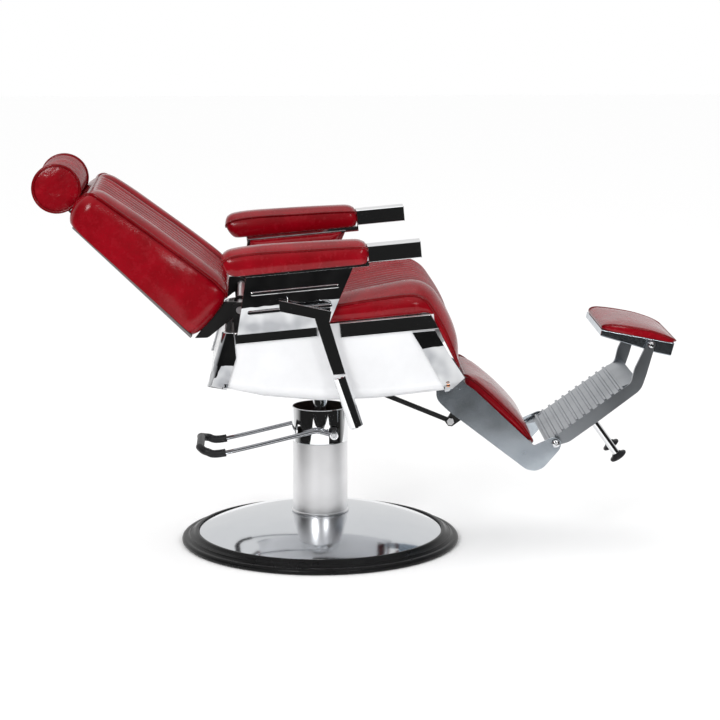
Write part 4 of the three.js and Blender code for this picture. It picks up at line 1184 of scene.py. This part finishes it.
def makeArmPanel(word, side, settings):
    inner, outer = side * settings["inner"], side * settings["outer"]
    sheet = slabPiece(f"armPanel_{word}", settings["outline"], inner, outer, seatFrame, 0.0014, 3)
    ready(sheet, "seat", "chrome", pressedChrome, f"arm_panel_{word}")
    for order, (start, end, height) in enumerate(settings["ribs"]):
        rib = slabPiece(
            f"panelRib_{word}_{order}", pill(start, end, height, 0.0045), outer - side * 0.001, outer + side * 0.0030,
            seatFrame, 0.0024, 4,
        )
        ready(rib, "seat", "chrome", chromePlate)
    fold = slabPiece(
        f"panelFold_{word}", [(-0.0625, 0.165), (-0.0585, 0.165), (-0.0585, 0.199), (-0.0625, 0.199)],
        outer - side * 0.001, outer + side * 0.0014, seatFrame, 0.0011, 2,
    )
    ready(fold, "seat", "chrome", chromePlate)


for word, side in sides:
    makeArmPanel(word, side, armPanel)

# recline lever
reclineLever = {
    "near": -0.298, "far": -0.304, "shaftRadius": 0.0075, "shaftSpan": (0.262, 0.2985),
    "outline": [(-0.016, 0.0135), (-0.016, -0.0135), (0.060, -0.037), (0.089, -0.168), (0.117, -0.168),
                (0.092, -0.047), (0.099, -0.023)],
}


def makeReclineLever(settings):
    place = seatFrame @ Matrix.Translation((leverPivot[0], 0, leverPivot[1]))
    bar = slabPiece("reclineLever", settings["outline"], settings["near"], settings["far"], place, 0.0013, 3)
    ready(bar, "recline_lever", "chrome", chromePlate, "recline_lever")
    shaftPlace = place @ Matrix.Rotation(math.pi / 2, 4, "X")
    radius = settings["shaftRadius"]
    start, end = settings["shaftSpan"]
    shaft = turnedPiece("leverShaft", [(0, start), (radius, start), (radius, end), (0, end)], shaftPlace, 48, 30)
    ready(shaft, "recline_lever", "chrome", chromePlate)


makeReclineLever(reclineLever)

# bolt heads at the hinges of the leg and foot rests
boltHeads = [
    ("footBolt", "footrest", footFrame, 0.0, 0.0, 0.1572, 0.0088),
    ("flipBolt", "footrest", footFrame, 0.312, 0.0575, 0.1422, 0.0072),
]


def makeBoltHead(name, body, frameHere, x, z, face, radius, side):
    place = frameHere @ Matrix.Translation((x, side * face, z)) @ Matrix.Rotation(-side * math.pi / 2, 4, "X")
    head = [(0, 0.0), (radius, 0.0), (radius, 0.0012), (radius * 0.97, 0.0018), (radius * 0.86, 0.0030),
            (radius * 0.55, 0.0042), (radius * 0.42, 0.0040), (radius * 0.38, 0.0020), (0, 0.0020)]
    ready(turnedPiece(name, head, place, 40, 35), body, "satin_steel", chromeSoft)


for name, body, frameHere, x, z, face, radius in boltHeads:
    for word, side in sides:
        makeBoltHead(f"{name}_{word}", body, frameHere, x, z, face, radius, side)

# rivets low on the front trims
trimRivet = {
    "x": 0.2805, "y": 0.2626, "z": -0.0516,
    "head": [(0, 0), (0.0043, 0), (0.0041, 0.0010), (0.0024, 0.0018), (0, 0.0021)],
}
for word, side in sides:
    place = seatFrame @ Matrix.Translation((trimRivet["x"], side * trimRivet["y"], trimRivet["z"]))
    place = place @ Matrix.Rotation(-side * math.pi / 2, 4, "X")
    rivet = turnedPiece(f"trimRivet_{word}", trimRivet["head"], place, 32, 50)
    ready(rivet, "seat", "satin_steel", copperRivet)

# pieces that keep the frame's own shape and only get a finish
plain = {
    "ballast_plate": castIron, "pump_body": castIron, "pedal_shaft": satinColumn, "pedal_bolt_left": chromeSoft,
    "pedal_bolt_right": chromeSoft, "pump_rocker": blackSteel, "pump_plunger": satinColumn, "seat_mount": castIron,
    "seat_frame": blackSteel, "leg_shaft": satinColumn, "recline_shaft": satinColumn, "recline_crank": blackSteel,
    "link_screw": satinColumn, "foot_hinge_rod": chromeSoft, "flip_hinge_rod": chromeSoft,
}
for node, material in plain.items():
    finishNode(node, material)
print("metalwork finished")


# studio
def makeStudio():
    deselectAll()
    # the floor stops short at the sides and the near edge, so polished faces see a dark room there
    near, far = -1.34, 14.0
    corners = [(-0.72, near, 0), (0.80, near, 0), (4.1, far, 0), (-2.7, far, 0)]
    floor = meshPiece("studioFloor", corners, [(0, 1, 2, 3)])
    material, tree, shader = newMaterial("studioFloor", Roughness=0.9, Base_Color=(0.99, 0.99, 0.99, 1))
    shader.inputs["Specular IOR Level"].default_value = 0.0
    floor.data.materials.append(material)
    bpy.context.scene.view_settings.view_transform = "Standard"
    world = bpy.data.worlds.new("studioWorld")
    bpy.context.scene.world = world
    world.use_nodes = True
    tree = world.node_tree
    background = tree.nodes["Background"]
    spot = tree.nodes.new("ShaderNodeTexCoord")
    split = tree.nodes.new("ShaderNodeSeparateXYZ")
    tree.links.new(spot.outputs["Generated"], split.inputs[0])
    # the room is bright behind and above the chair and dark on the near side, as seen by polished metal
    behind = addRange(tree, split.outputs["Y"], -0.05, 0.6, 0.0, 0.80)
    above = addRange(tree, split.outputs["Z"], 0.42, 0.85, 0.0, 0.86)
    mirror = addMath(tree, "MAXIMUM", behind, above)
    mirror = addMath(tree, "MAXIMUM", mirror, 0.015)
    path = tree.nodes.new("ShaderNodeLightPath")
    glossy = addNode(tree, "ShaderNodeMix", data_type="FLOAT")
    glossy.inputs[2].default_value = 0.99
    tree.links.new(mirror, glossy.inputs[3])
    tree.links.new(path.outputs["Is Glossy Ray"], glossy.inputs[0])
    seen = addNode(tree, "ShaderNodeMix", data_type="FLOAT")
    tree.links.new(glossy.outputs[0], seen.inputs[2])
    seen.inputs[3].default_value = 1.0
    tree.links.new(path.outputs["Is Camera Ray"], seen.inputs[0])
    tree.links.new(seen.outputs[0], background.inputs["Strength"])
    background.inputs["Color"].default_value = (1, 1, 1, 1)
    for name, place, aim, size, power in (
        ("softLeft", (-1.7, -3.6, 2.3), (-0.1, 0, 0.6), 0.9, 58),
        ("softRight", (1.6, -3.6, 2.0), (0.2, 0, 0.5), 0.6, 22),
        ("softTop", (0, 0.6, 3.6), (0, 0, 0.4), 2.2, 8),
    ):
        data = bpy.data.lights.new(name, "AREA")
        data.energy = power
        data.size = size
        light = bpy.data.objects.new(name, data)
        light.location = place
        light.rotation_euler = (Vector(aim) - Vector(place)).to_track_quat("-Z", "Y").to_euler()
        bpy.context.collection.objects.link(light)


makeStudio()
print("studio made")
